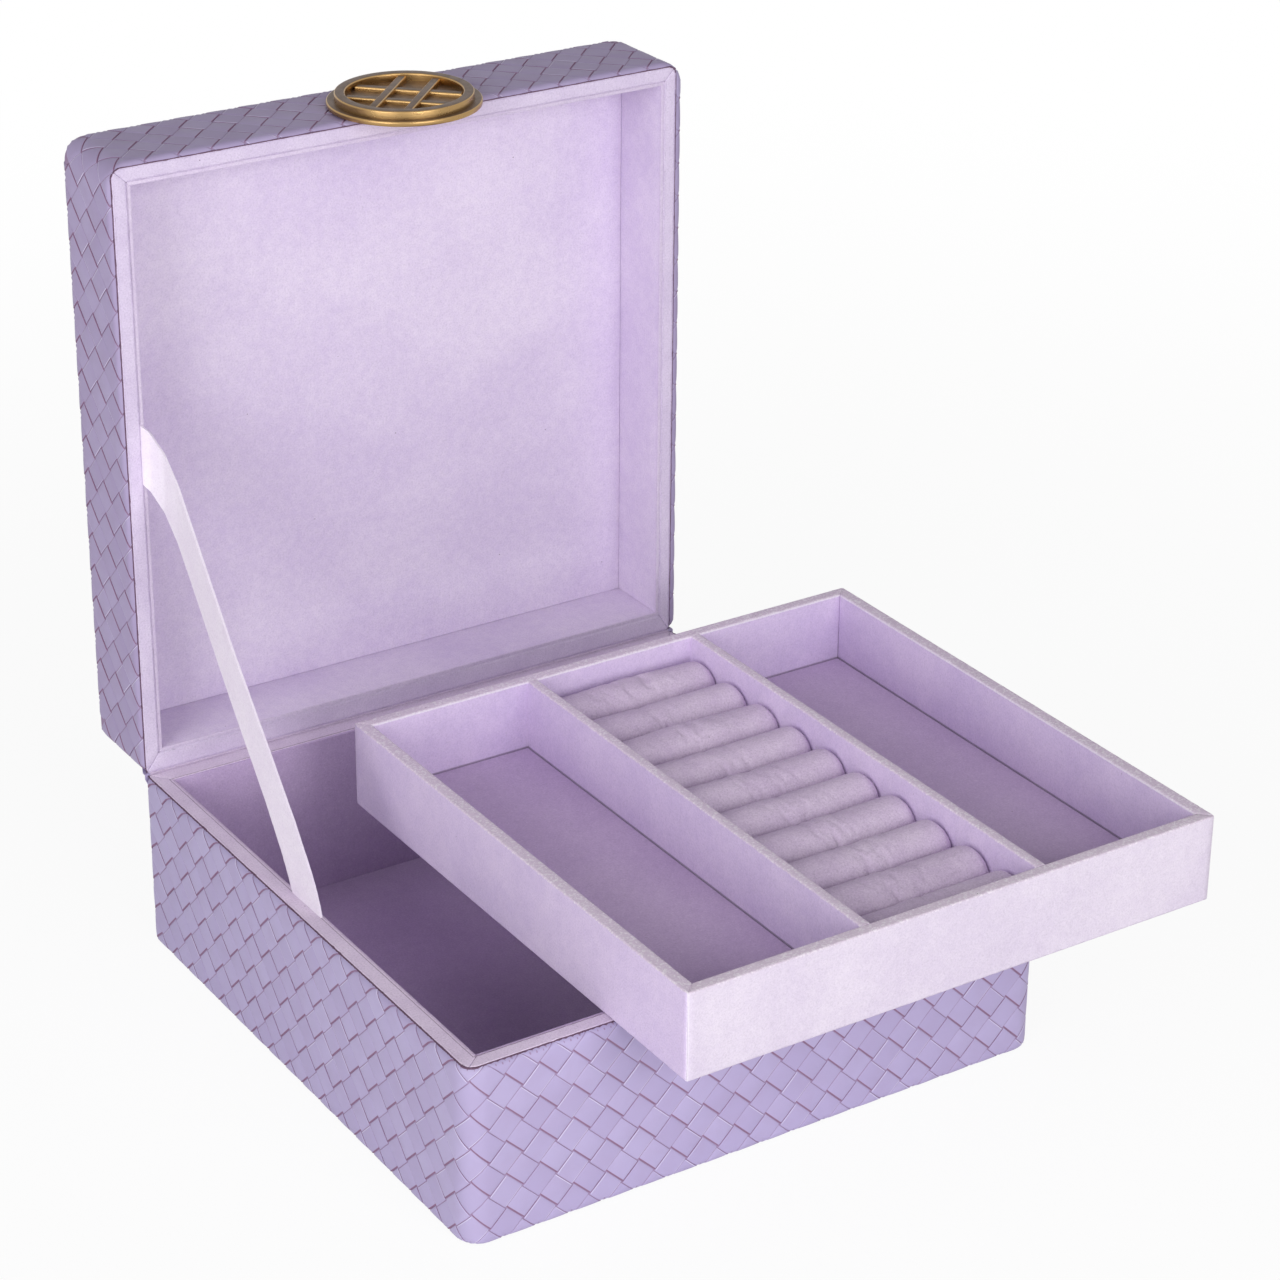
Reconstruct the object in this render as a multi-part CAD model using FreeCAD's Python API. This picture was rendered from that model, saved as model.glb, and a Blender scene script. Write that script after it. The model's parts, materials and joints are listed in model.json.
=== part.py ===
import FreeCAD, Part
import os

os.makedirs("parts", exist_ok=True)

# A hinged jewellery box with a lift-out ring tray. Lengths are in millimetres and angles in degrees.
# X runs to the right, Y to the back and Z up. The origin is on the underside, at the middle of the plan.

# Closed box
box_width = 200.0
box_depth = 200.0
base_height = 58.8          # underside to the top of the base's rim band
lid_height = 32.0           # rim band to the lid's outer face
corner_radius = 7.0         # upright corners at the front, on the leather
hinge_corner_radius = 3.0   # and on the hinge side
edge_radius = 2.0           # base's bottom edges and lid's top edges
lid_gap = 0.4               # between the two rim bands when the lid is shut
open_angle = 90.0           # lid held open by the ribbon

# Wall layers, from the outside in
leather_thickness = 1.2
board_thickness = 4.9
lining_thickness = 1.15
lip_drop = 0.1              # rim band's top to the leather's rolled edge
lip_radius = 0.65
lining_drop = 0.2           # rim band's top to the lining's edge

# Rim bands
band_inset = 1.5            # leather's face to the band's outer edge
band_gap = 0.15             # band to the lining behind it
band_thickness = 1.1
band_edge_radius = 0.4

# Floor of the base and top of the lid
floor_board_thickness = 2.5
floor_pad_thickness = 0.9
cover_proud = 0.3           # bottom cover below the leather
cover_margin = 12.0         # leather turned under round the cover
cover_clearance = 0.2
top_board_thickness = 4.5
ceiling_pad_thickness = 2.8

# Hinge strip along the back
strip_thickness = 0.8
strip_leg = 11.0
strip_end_margin = 2.0

# Ribbon stay on the left side
ribbon_width = 13.0
ribbon_thickness = 0.8
ribbon_bow = 2.0            # how far its middle stands off the walls
ribbon_lid_reach = 118.0    # hinge to its fixing, up the lid
ribbon_lid_depth = 12.0     # lid's rim to its fixing
ribbon_base_reach = 110.0   # hinge to its fixing, towards the front
ribbon_base_depth = 13.6    # base's rim to its fixing

# Medallion on the lid's front
medallion_radius = 24.0
medallion_thickness = 1.6
medallion_edge_radius = 0.4
medallion_centre_x = 2.5
medallion_above_rim = 5.8   # its centre above the closed lid's rim
seat_radius = 19.0
seat_thickness = 0.5
ring_radius = 21.5
ring_width = 3.4
relief_height = 2.4
lattice_pitch = 11.0
lattice_bar_width = 2.8
lattice_height = 1.8
lattice_clearance = 0.1
pin_radius = 1.5
pin_spacing = 22.0
pin_above_rim = 15.0
pin_depth = 2.5             # in the wall board
pin_clearance = 0.1

# Tray
tray_clearance = 0.4        # to the base's lining on each side
tray_height = 28.2
tray_wall = 4.2
tray_divider = 3.4
tray_compartments = 3
tray_corner_radius = 1.2
tray_top_radius = 0.7
tray_foot_radius = 0.8
tray_floor_thickness = 3.2
tray_pad_thickness = 1.8
tray_pad_clearance = 0.3
tray_shift_x = 40.5         # lying on the rim, right of the middle
tray_shift_y = -43.2        # and in front of it

# Ring rolls in the tray's middle compartment
roll_count = 10
roll_gap = 0.5
roll_end_gap = 0.7
roll_drop = 5.0             # top of the tray's walls to the rolls' crowns
roll_rise_share = 0.45      # crown's rise over the straight sides, of the roll's width
roll_station_shares = (0.0, 0.02, 0.07, 0.5, 0.93, 0.98, 1.0)
roll_size_shares = (0.86, 0.945, 0.985, 1.0, 0.985, 0.945, 0.86)

# Cuts run past what they cut by this much
overrun = 1.0
# A rounding takes no more than this of the wall that it is on
rounding_limit_share = 0.42

# Plan sizes worked out from the layers
half_width = box_width / 2
half_depth = box_depth / 2
board_inset = leather_thickness
lining_inset = board_inset + board_thickness
wall_inset = lining_inset + lining_thickness
band_width = lining_inset - band_gap - band_inset
hinge_y = half_depth + strip_thickness / 2
hinge_z = base_height + lid_gap / 2
tray_width = box_width - 2 * (wall_inset + tray_clearance)
tray_depth = box_depth - 2 * (wall_inset + tray_clearance)

side_turns = {"front": 0.0, "right": 90.0, "back": 180.0, "left": 270.0}
opposite = {"front": "back", "back": "front", "left": "left", "right": "right"}


def block(x0, x1, y0, y1, z0, z1):
    return Part.makeBox(x1 - x0, y1 - y0, z1 - z0, FreeCAD.Vector(x0, y0, z0))


def ends(edge):
    return edge.Vertexes[0].Point, edge.Vertexes[-1].Point


def same(first, second):
    return abs(first - second) < Part.Precision.confusion()


def at_level(shape, level):
    return [edge for edge in shape.Edges if all(same(point.z, level) for point in ends(edge))]


def along_x(edge):
    first, last = ends(edge)
    return same(first.y, last.y) and same(first.z, last.z)


def upright(edge):
    first, last = ends(edge)
    return same(first.x, last.x) and same(first.y, last.y)


def rounded_block(half_x, half_y, bottom, top, radius, foot_radius=0):
    slab = block(-half_x, half_x, -half_y, half_y, bottom, top)
    slab = slab.makeFillet(radius, [edge for edge in slab.Edges if upright(edge)])
    return slab.makeFillet(foot_radius, at_level(slab, bottom)) if foot_radius else slab


# A block inside the shell's outline. The hinge side is 1 for the back and -1 for the front.
def shell_block(inset, bottom, top, hinge_side, foot_radius=0):
    half_x = half_width - inset
    half_y = half_depth - inset
    slab = block(-half_x, half_x, -half_y, half_y, bottom, top)
    for side, radius in ((-hinge_side, corner_radius), (hinge_side, hinge_corner_radius)):
        edges = [edge for edge in slab.Edges if upright(edge) and same(ends(edge)[0].y, side * half_y)]
        slab = slab.makeFillet(radius - inset, edges)
    return slab.makeFillet(foot_radius, at_level(slab, bottom)) if foot_radius else slab


# A straight bar with mitred ends on one side of a rectangle, its inner face on the rectangle
def mitred_bar(side, half_x, half_y, thickness, bottom, top, top_radius=0, foot_radius=0, plan_radius=0):
    half_length, offset = (half_x, half_y) if side in ("front", "back") else (half_y, half_x)
    outer = offset + thickness
    far = half_length + thickness
    corners = [(-half_length, -offset), (-far, -outer), (far, -outer), (half_length, -offset)]
    points = [FreeCAD.Vector(x, y, bottom) for x, y in corners]
    bar = Part.Face(Part.makePolygon(points + points[:1])).extrude(FreeCAD.Vector(0, 0, top - bottom))
    if top_radius:
        bar = bar.makeFillet(top_radius, [edge for edge in at_level(bar, top) if along_x(edge)])
    if foot_radius:
        foot = [edge for edge in at_level(bar, bottom) if along_x(edge) and same(ends(edge)[0].y, -outer)]
        bar = bar.makeFillet(foot_radius, foot)
    bar.rotate(FreeCAD.Vector(0, 0, 0), FreeCAD.Vector(0, 0, 1), side_turns[side])
    if plan_radius:
        bar = bar.common(rounded_block(half_x + thickness, half_y + thickness, bottom, top, plan_radius))
    return bar


# Base and lid share one build-up. The shell stands on its outer face at Z = 0, rim up.
def leather_skin(height, hinge_side):
    top = height - lip_drop
    skin = shell_block(0, 0, top, hinge_side, edge_radius)
    lip = min(lip_radius, leather_thickness * (1 - rounding_limit_share))
    skin = skin.makeFillet(lip, at_level(skin, top))
    inner_radius = edge_radius - leather_thickness
    hollow = shell_block(leather_thickness, leather_thickness, height + overrun, hinge_side, inner_radius)
    return skin.cut(hollow)


def wall_boards(height, hinge_side):
    top = height - band_thickness
    inner_radius = edge_radius - leather_thickness
    ring = shell_block(board_inset, leather_thickness, top, hinge_side, inner_radius)
    half_x = half_width - lining_inset
    half_y = half_depth - lining_inset
    reach = board_thickness + overrun
    return {
        side: ring.common(mitred_bar(side, half_x, half_y, reach, 0, height))
        for side in side_turns
    }


def lining_panels(height, foot):
    top = height - lining_drop
    half_x = half_width - lining_inset
    half_y = half_depth - lining_inset
    inner_y = half_depth - wall_inset
    inner_x = half_width - wall_inset
    return {
        "front": block(-half_x, half_x, -half_y, -inner_y, foot, top),
        "back": block(-half_x, half_x, inner_y, half_y, foot, top),
        "left": block(-half_x, -inner_x, -inner_y, inner_y, foot, top),
        "right": block(inner_x, half_x, -inner_y, inner_y, foot, top),
    }


def rim_bands(height, hinge_side):
    half_x = half_width - band_inset - band_width
    half_y = half_depth - band_inset - band_width
    rounding = min(band_edge_radius, band_width * rounding_limit_share, band_thickness * rounding_limit_share)
    foot = height - band_thickness
    outline = shell_block(band_inset, foot, height, hinge_side)
    return {
        side: mitred_bar(side, half_x, half_y, band_width, foot, height, rounding).common(outline)
        for side in side_turns
    }


def shell(height, panel_thickness, pad_thickness, hinge_side):
    panel_x = half_width - lining_inset
    panel_y = half_depth - lining_inset
    pad_x = half_width - wall_inset
    pad_y = half_depth - wall_inset
    panel_top = leather_thickness + panel_thickness
    pieces = {"leather": leather_skin(height, hinge_side)}
    pieces["panel"] = block(-panel_x, panel_x, -panel_y, panel_y, leather_thickness, panel_top)
    pieces["pad"] = block(-pad_x, pad_x, -pad_y, pad_y, panel_top, panel_top + pad_thickness)
    layers = {
        "wall": wall_boards(height, hinge_side),
        "lining": lining_panels(height, panel_top),
        "band": rim_bands(height, hinge_side),
    }
    for layer, sides in layers.items():
        for side, piece in sides.items():
            pieces[layer, side] = piece
    return pieces


# The lid is a shell with its hinge side at its front: it is turned over and opened about the hinge
def place_lid(piece):
    placed = piece.copy()
    placed.translate(FreeCAD.Vector(0, hinge_y, -lid_height - lid_gap / 2))
    placed.rotate(FreeCAD.Vector(0, 0, 0), FreeCAD.Vector(1, 0, 0), 180.0 - open_angle)
    placed.translate(FreeCAD.Vector(0, hinge_y, hinge_z))
    return placed


nodes = {}


def make_base():
    pieces = shell(base_height - cover_proud, floor_board_thickness, floor_pad_thickness, 1)
    cover_x = half_width - cover_margin
    cover_y = half_depth - cover_margin
    window_x = cover_x + cover_clearance
    window_y = cover_y + cover_clearance
    window = block(-window_x, window_x, -window_y, window_y, -overrun, leather_thickness + overrun)
    pieces["leather"] = pieces["leather"].cut(window)
    names = {"leather": "base_leather", "panel": "base_floor_board", "pad": "base_floor_pad"}
    for key, piece in pieces.items():
        piece.translate(FreeCAD.Vector(0, 0, cover_proud))
        name = names[key] if key in names else "base_%s_%s" % key
        nodes[name] = piece
    cover_top = cover_proud + leather_thickness
    nodes["base_bottom_cover"] = block(-cover_x, cover_x, -cover_y, cover_y, 0, cover_top)


# Medallion pieces stand on the shell's back face, which is the lid's front, and point along Y
def make_medallion():
    outward = FreeCAD.Vector(0, 1, 0)
    centre_z = lid_height - medallion_above_rim
    seat_face = half_depth + seat_thickness
    front_face = seat_face + medallion_thickness

    def disc(radius, start, length, x=medallion_centre_x, z=centre_z):
        return Part.makeCylinder(radius, length, FreeCAD.Vector(x, start, z), outward)

    plate = disc(medallion_radius, seat_face, medallion_thickness)
    front_edges = [edge for edge in plate.Edges if same(ends(edge)[0].y, front_face) and edge.Closed]
    edge_rounding = min(medallion_edge_radius, medallion_thickness * rounding_limit_share)
    plate = plate.makeFillet(edge_rounding, front_edges)
    flat_top = lid_height - lip_drop - lip_radius
    flat = block(-half_width, half_width, half_depth, seat_face, edge_radius, flat_top)
    seat = disc(seat_radius, half_depth, seat_thickness).common(flat)
    ring_hole = ring_radius - ring_width
    ring = disc(ring_radius, front_face, relief_height).cut(disc(ring_hole, front_face, relief_height))

    bars = []
    lattice_face = front_face + lattice_height
    for turn in (45.0, -45.0):
        for step in (-0.5, 0.5):
            low = step * lattice_pitch - lattice_bar_width / 2
            high = low + lattice_bar_width
            bar = block(-ring_radius, ring_radius, front_face, lattice_face, low, high)
            bar.rotate(FreeCAD.Vector(0, 0, 0), outward, turn)
            bar.translate(FreeCAD.Vector(medallion_centre_x, 0, centre_z))
            bars.append(bar)
    lattice = bars[0].multiFuse(bars[1:]).removeSplitter()
    lattice = lattice.common(disc(ring_hole - lattice_clearance, front_face, lattice_height))

    nodes["medallion_plate"] = plate
    nodes["medallion_ring"] = ring
    nodes["medallion_lattice"] = lattice
    pin_start = half_depth - leather_thickness - pin_depth
    pin_length = seat_face - pin_start
    for name, side in (("left", -1), ("right", 1)):
        pin_x = medallion_centre_x + side * pin_spacing / 2
        pin_z = lid_height - pin_above_rim
        nodes["medallion_pin_" + name] = disc(pin_radius, pin_start, pin_length, pin_x, pin_z)
        hole = disc(pin_radius + pin_clearance, pin_start, pin_length, pin_x, pin_z)
        seat = seat.cut(hole)
        for drilled in ("lid_leather", "lid_wall_front"):
            nodes[drilled] = nodes[drilled].cut(hole)
    nodes["medallion_seat"] = seat


def make_lid():
    pieces = shell(lid_height, top_board_thickness, ceiling_pad_thickness, -1)
    names = {"leather": "lid_leather", "panel": "lid_top_board", "pad": "lid_ceiling_pad"}
    for key, piece in pieces.items():
        name = names[key] if key in names else "lid_%s_%s" % (key[0], opposite[key[1]])
        nodes[name] = piece
    make_medallion()
    for name in nodes:
        if name.startswith(("lid_", "medallion_")):
            nodes[name] = place_lid(nodes[name])


# One leg of the strip lies on the base's back and one on the lid's, with a round fold on the hinge line
def make_hinge_strip():
    half_length = half_width - hinge_corner_radius - strip_end_margin
    outer = half_depth + strip_thickness
    base_leg = block(-half_length, half_length, half_depth, outer, base_height - strip_leg, hinge_z)
    axis_level = lid_height + lid_gap / 2
    lid_leg = block(-half_length, half_length, -outer, -half_depth, lid_height - strip_leg, axis_level)
    fold_start = FreeCAD.Vector(-half_length, hinge_y, hinge_z)
    fold = Part.makeCylinder(strip_thickness / 2, 2 * half_length, fold_start, FreeCAD.Vector(1, 0, 0))
    nodes["hinge_strip"] = base_leg.multiFuse([place_lid(lid_leg), fold]).removeSplitter()


# The ribbon bows off the left lining between its fixings in the lid and in the base
def make_ribbon():
    wall_x = half_width - wall_inset
    lid_fixing = FreeCAD.Vector(-wall_x, ribbon_lid_reach - half_depth, lid_height - ribbon_lid_depth)
    lid_end = place_lid(Part.Vertex(lid_fixing)).Point
    base_end = FreeCAD.Vector(-wall_x, half_depth - ribbon_base_reach, base_height - ribbon_base_depth)
    inward = FreeCAD.Vector(1, 0, 0)
    run = (base_end - lid_end).normalize()
    across = run.cross(inward)
    start = lid_end - across * (ribbon_width / 2)
    finish = base_end - across * (ribbon_width / 2)
    crest = (start + finish) / 2 + inward * ribbon_bow
    lift = inward * ribbon_thickness
    outline = [
        Part.Arc(start, crest, finish).toShape(),
        Part.makeLine(finish, finish + lift),
        Part.Arc(finish + lift, crest + lift, start + lift).toShape(),
        Part.makeLine(start + lift, start),
    ]
    nodes["ribbon_stay"] = Part.Face(Part.Wire(outline)).extrude(across * ribbon_width)


def roll_section(x, width, height):
    half = width / 2
    shoulder = height - roll_rise_share * width
    foot_back = FreeCAD.Vector(x, half, 0)
    foot_front = FreeCAD.Vector(x, -half, 0)
    shoulder_back = FreeCAD.Vector(x, half, shoulder)
    shoulder_front = FreeCAD.Vector(x, -half, shoulder)
    crown = FreeCAD.Vector(x, 0, height)
    return Part.Wire([
        Part.makeLine(foot_back, foot_front),
        Part.makeLine(foot_front, shoulder_front),
        Part.Arc(shoulder_front, crown, shoulder_back).toShape(),
        Part.makeLine(shoulder_back, foot_back),
    ])


def make_rolls(half_x, half_y):
    pitch = 2 * half_y / roll_count
    length = 2 * (half_x - roll_end_gap)
    width = pitch - roll_gap
    height = tray_height - roll_drop - tray_floor_thickness
    sections = [
        roll_section((station - 0.5) * length, width * size, height * size)
        for station, size in zip(roll_station_shares, roll_size_shares)
    ]
    roll = Part.makeLoft(sections, True, True)
    for number in range(roll_count):
        placed = roll.copy()
        placed.translate(FreeCAD.Vector(0, half_y - (number + 0.5) * pitch, tray_floor_thickness))
        nodes["ring_roll_%02d" % (number + 1)] = placed


def make_tray():
    inner_x = tray_width / 2 - tray_wall
    inner_y = tray_depth / 2 - tray_wall
    top_radius = min(tray_top_radius, tray_wall * rounding_limit_share)
    for side in side_turns:
        roundings = (top_radius, tray_foot_radius, tray_corner_radius)
        wall = mitred_bar(side, inner_x, inner_y, tray_wall, 0, tray_height, *roundings)
        nodes["tray_wall_" + side] = wall
    floor_top = tray_floor_thickness
    nodes["tray_floor_board"] = block(-inner_x, inner_x, -inner_y, inner_y, 0, floor_top)

    divider_x = tray_width / (2 * tray_compartments)
    divider_near = divider_x - tray_divider / 2
    divider_far = divider_x + tray_divider / 2
    divider = block(divider_near, divider_far, -inner_y, inner_y, floor_top, tray_height)
    crests = [edge for edge in at_level(divider, tray_height) if same(ends(edge)[0].x, ends(edge)[1].x)]
    divider = divider.makeFillet(min(tray_top_radius, tray_divider * rounding_limit_share), crests)
    pad = block(
        divider_far + tray_pad_clearance,
        inner_x - tray_pad_clearance,
        tray_pad_clearance - inner_y,
        inner_y - tray_pad_clearance,
        floor_top,
        floor_top + tray_pad_thickness,
    )
    for name, turn in (("right", 0.0), ("left", 180.0)):
        for label, piece in (("tray_divider_", divider), ("tray_pad_", pad)):
            turned = piece.copy()
            turned.rotate(FreeCAD.Vector(0, 0, 0), FreeCAD.Vector(0, 0, 1), turn)
            nodes[label + name] = turned

    make_rolls(divider_near, inner_y)
    shift = FreeCAD.Vector(tray_shift_x, tray_shift_y, base_height)
    for name in nodes:
        if name.startswith(("tray_", "ring_roll_")):
            nodes[name].translate(shift)


make_base()
make_lid()
make_hinge_strip()
make_ribbon()
make_tray()

for name, piece in nodes.items():
    piece.exportStep("parts/%s.step" % name)

print(len(nodes), "nodes")
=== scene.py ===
# %% [markdown]
# A jewellery box in woven imitation leather, with a suede lining and a lift-out ring tray.
# The CAD model comes in first as a fixed frame. Every new piece is modelled round it, in metres. Most
# of them ride on one of its three bodies, the base, the lid and the tray; the ribbon, the hinge strip
# and the hinge tape lie between two of them.

# %% Load the frame
import json
import math
import bmesh
import bpy
import numpy as np
from mathutils import Matrix, Vector


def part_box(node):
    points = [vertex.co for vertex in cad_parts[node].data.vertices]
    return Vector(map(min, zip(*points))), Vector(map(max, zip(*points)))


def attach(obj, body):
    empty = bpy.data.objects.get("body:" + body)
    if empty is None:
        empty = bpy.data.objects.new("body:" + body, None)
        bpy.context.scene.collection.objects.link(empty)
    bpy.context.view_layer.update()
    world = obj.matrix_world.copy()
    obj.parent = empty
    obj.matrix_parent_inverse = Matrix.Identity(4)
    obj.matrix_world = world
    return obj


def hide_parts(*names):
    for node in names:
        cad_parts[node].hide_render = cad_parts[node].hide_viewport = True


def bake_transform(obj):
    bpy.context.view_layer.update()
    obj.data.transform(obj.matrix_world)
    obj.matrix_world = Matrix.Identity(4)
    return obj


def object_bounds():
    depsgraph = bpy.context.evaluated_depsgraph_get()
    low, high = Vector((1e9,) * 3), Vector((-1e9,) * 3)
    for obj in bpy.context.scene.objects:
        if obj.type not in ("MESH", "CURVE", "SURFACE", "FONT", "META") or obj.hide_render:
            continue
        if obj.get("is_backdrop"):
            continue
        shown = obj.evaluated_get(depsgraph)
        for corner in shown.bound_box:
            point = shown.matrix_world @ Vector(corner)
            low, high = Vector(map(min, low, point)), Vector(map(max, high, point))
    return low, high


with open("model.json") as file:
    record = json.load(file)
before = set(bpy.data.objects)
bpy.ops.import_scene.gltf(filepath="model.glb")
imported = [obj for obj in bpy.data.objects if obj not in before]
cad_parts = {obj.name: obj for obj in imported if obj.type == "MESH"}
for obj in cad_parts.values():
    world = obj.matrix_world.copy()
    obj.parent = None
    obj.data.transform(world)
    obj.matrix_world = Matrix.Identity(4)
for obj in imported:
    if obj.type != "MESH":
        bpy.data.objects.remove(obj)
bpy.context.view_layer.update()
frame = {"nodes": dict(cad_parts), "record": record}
nodes = frame["nodes"]
mm = 0.001

# %% [markdown]
# The camera stands where the photographer stood: in front, to the left and a little above.
# A long lens from about a metre keeps the upright edges nearly parallel. The small shift puts the box
# where it is in the frame without turning the camera, which would change the perspective.

# %% Camera
camera_data = bpy.data.cameras.new("photo_camera")
camera = bpy.data.objects.new("photo_camera", camera_data)
bpy.context.scene.collection.objects.link(camera)
camera.location = (-0.498901, -0.794994, 0.580764)
camera.rotation_euler = (math.radians(90 - 25.302), 0, math.radians(-32.002))
camera_data.sensor_width = 36
camera_data.lens = 98.39
camera_data.shift_x = 0.0497
camera_data.shift_y = -0.0352
bpy.context.scene.camera = camera
bpy.context.scene.view_settings.view_transform = "Standard"
print("camera at", [round(value, 3) for value in camera.location])

# %% [markdown]
# Finishes are written as sums. A Value is one output socket, and a sum on it adds a Math node, so
# a mask reads like a line of arithmetic. All other nodes come from one method, which the world's
# tree and every finish share.

# %% Node helpers
class Value:
    def __init__(self, owner, socket):
        self.owner = owner
        self.socket = socket

    def math(self, operation, first, second):
        return self.owner.node("ShaderNodeMath", {"operation": operation}, {0: first, 1: second})

    def __add__(self, other):
        return self.math("ADD", self, other)

    def __radd__(self, other):
        return self.math("ADD", other, self)

    def __sub__(self, other):
        return self.math("SUBTRACT", self, other)

    def __rsub__(self, other):
        return self.math("SUBTRACT", other, self)

    def __mul__(self, other):
        return self.math("MULTIPLY", self, other)

    def __rmul__(self, other):
        return self.math("MULTIPLY", other, self)


class Nodes:
    def __init__(self, tree):
        self.tree = tree

    def feed(self, socket, value):
        if isinstance(value, Value):
            self.tree.links.new(value.socket, socket)
        else:
            socket.default_value = value

    def node(self, kind, settings=None, sockets=None, output=0):
        made = self.tree.nodes.new(kind)
        for name, value in (settings or {}).items():
            setattr(made, name, value)
        for name, value in (sockets or {}).items():
            self.feed(made.inputs[name], value)
        return Value(self, made.outputs[output])


class Finish(Nodes):
    def __init__(self, name, constants):
        self.material = bpy.data.materials.new(name)
        self.material.use_nodes = True
        super().__init__(self.material.node_tree)
        self.shader = self.tree.nodes["Principled BSDF"]
        self.surface(constants)

    def surface(self, sockets):
        for name, value in sockets.items():
            self.feed(self.shader.inputs[name], value)
        return self.material


print("classes for a value, a tree of nodes and a finish ready")

# %% Colours, sums and textures
def srgb(red, green, blue):
    def linear(level):
        share = level / 255
        return share / 12.92 if share <= 0.04045 else ((share + 0.055) / 1.055) ** 2.4
    return (linear(red), linear(green), linear(blue), 1.0)


def ramp(value, low, high):
    sockets = {"Value": value, "From Min": low, "From Max": high}
    return value.owner.node("ShaderNodeMapRange", {"interpolation_type": "SMOOTHSTEP"}, sockets)


def mix(factor, first, second):
    return factor.owner.node("ShaderNodeMix", {"data_type": "RGBA"}, {0: factor, 6: first, 7: second}, 2)


def absolute(value):
    return value.math("ABSOLUTE", value, 0.0)


def larger(first, second):
    return first.math("MAXIMUM", first, second)


def smaller(first, second):
    return first.math("MINIMUM", first, second)


def place(finish, offset=(0, 0, 0)):
    coordinates = finish.node("ShaderNodeTexCoord", output="Object")
    return finish.node("ShaderNodeMapping", None, {"Vector": coordinates, "Location": offset})


def coordinate(spot, axis):
    return spot.owner.node("ShaderNodeSeparateXYZ", None, {0: spot}, axis)


def noise(spot, size, detail=2.0, roughness=0.5):
    sockets = {"Vector": spot, "Scale": 1 / size, "Detail": detail, "Roughness": roughness}
    return spot.owner.node("ShaderNodeTexNoise", None, sockets)


def relief(height, distance, strength=1.0):
    sockets = {"Height": height, "Distance": distance, "Strength": strength}
    return height.owner.node("ShaderNodeBump", None, sockets)


print("node helpers ready")

# %% [markdown]
# A white studio. The floor is a pale sheet that keeps the box's shadow, and it fades into a white
# world further out. What the camera sees as background is white by Light Path, while the box is lit
# by a dim world and by two big soft lamps in front of it, which leave its upward faces darker.

# %% World and lamps
white_light = (1, 1, 1, 1)
ambient_strength = 0.31
lamp_aim = Vector((0, 0, 0.1))
lamp_distance = 1.5
lamp_size = 0.9


def seen_as_background(owner):
    direct, reflected, through = (
        owner.node("ShaderNodeLightPath", output=ray)
        for ray in ("Is Camera Ray", "Is Glossy Ray", "Is Transmission Ray")
    )
    return larger(direct, larger(reflected, through))


def soft_lamp(name, direction, power):
    lamp_data = bpy.data.lights.new(name, "AREA")
    lamp_data.size = lamp_size
    lamp_data.energy = power
    lamp = bpy.data.objects.new(name, lamp_data)
    bpy.context.scene.collection.objects.link(lamp)
    lamp.location = lamp_aim + Vector(direction).normalized() * lamp_distance
    lamp.rotation_euler = (lamp_aim - lamp.location).to_track_quat("-Z", "Y").to_euler()


world = bpy.data.worlds.new("studio")
bpy.context.scene.world = world
world.use_nodes = True
sky = Nodes(world.node_tree)
ambient = sky.tree.nodes["Background"]
sky.feed(ambient.inputs["Color"], white_light)
sky.feed(ambient.inputs["Strength"], ambient_strength)
backdrop = sky.node("ShaderNodeBackground", None, {"Color": white_light, "Strength": 1.0})
choice = sky.node("ShaderNodeMixShader", None, {
    0: seen_as_background(sky),
    1: Value(sky, ambient.outputs[0]),
    2: backdrop,
})
sky.feed(sky.tree.nodes["World Output"].inputs["Surface"], choice)
soft_lamp("front_softbox", (0.0, -0.92, 0.30), 11.2)
soft_lamp("left_softbox", (-0.9, -0.42, 0.34), 10.7)
print("studio: a white world and two soft lamps")

# %% Floor
bpy.ops.object.select_all(action="DESELECT")
bpy.ops.mesh.primitive_circle_add(vertices=96, radius=6, fill_type="NGON", location=(0, 0, 0))
floor = bpy.context.object
floor.name = "studio_floor"
paper = Finish("floor_paper", {"Base Color": srgb(248, 248, 248), "Roughness": 1.0})
floor_spot = paper.node("ShaderNodeTexCoord", output="Object")
away = paper.node("ShaderNodeVectorMath", {"operation": "LENGTH"}, {0: floor_spot}, "Value")
white = paper.node("ShaderNodeEmission", None, {"Color": white_light, "Strength": 1.0})
floor_mix = paper.node("ShaderNodeMixShader", None, {
    0: seen_as_background(paper) * (0.92 + 0.08 * ramp(away, 0.2, 1.0)),
    1: Value(paper, paper.shader.outputs[0]),
    2: white,
})
paper.feed(paper.tree.nodes["Material Output"].inputs["Surface"], floor_mix)
floor.data.materials.append(paper.material)
floor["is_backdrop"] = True
print("studio floor, pale near the box and white further out")

# %% [markdown]
# Suede is a short nap. Its colour drifts in soft clouds where the nap lies differently, it has a
# fine speckle, and hardly any shine beyond a sheen at grazing angles. Single hairs would be far too
# many at this size, so noise of three sizes gives the clouds, the lie of the nap and the grain. A
# finish can also take a function that colours its edges.

# %% Suede
nap_tip = srgb(250, 244, 252)
dark_speck = srgb(84, 58, 84)


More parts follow.
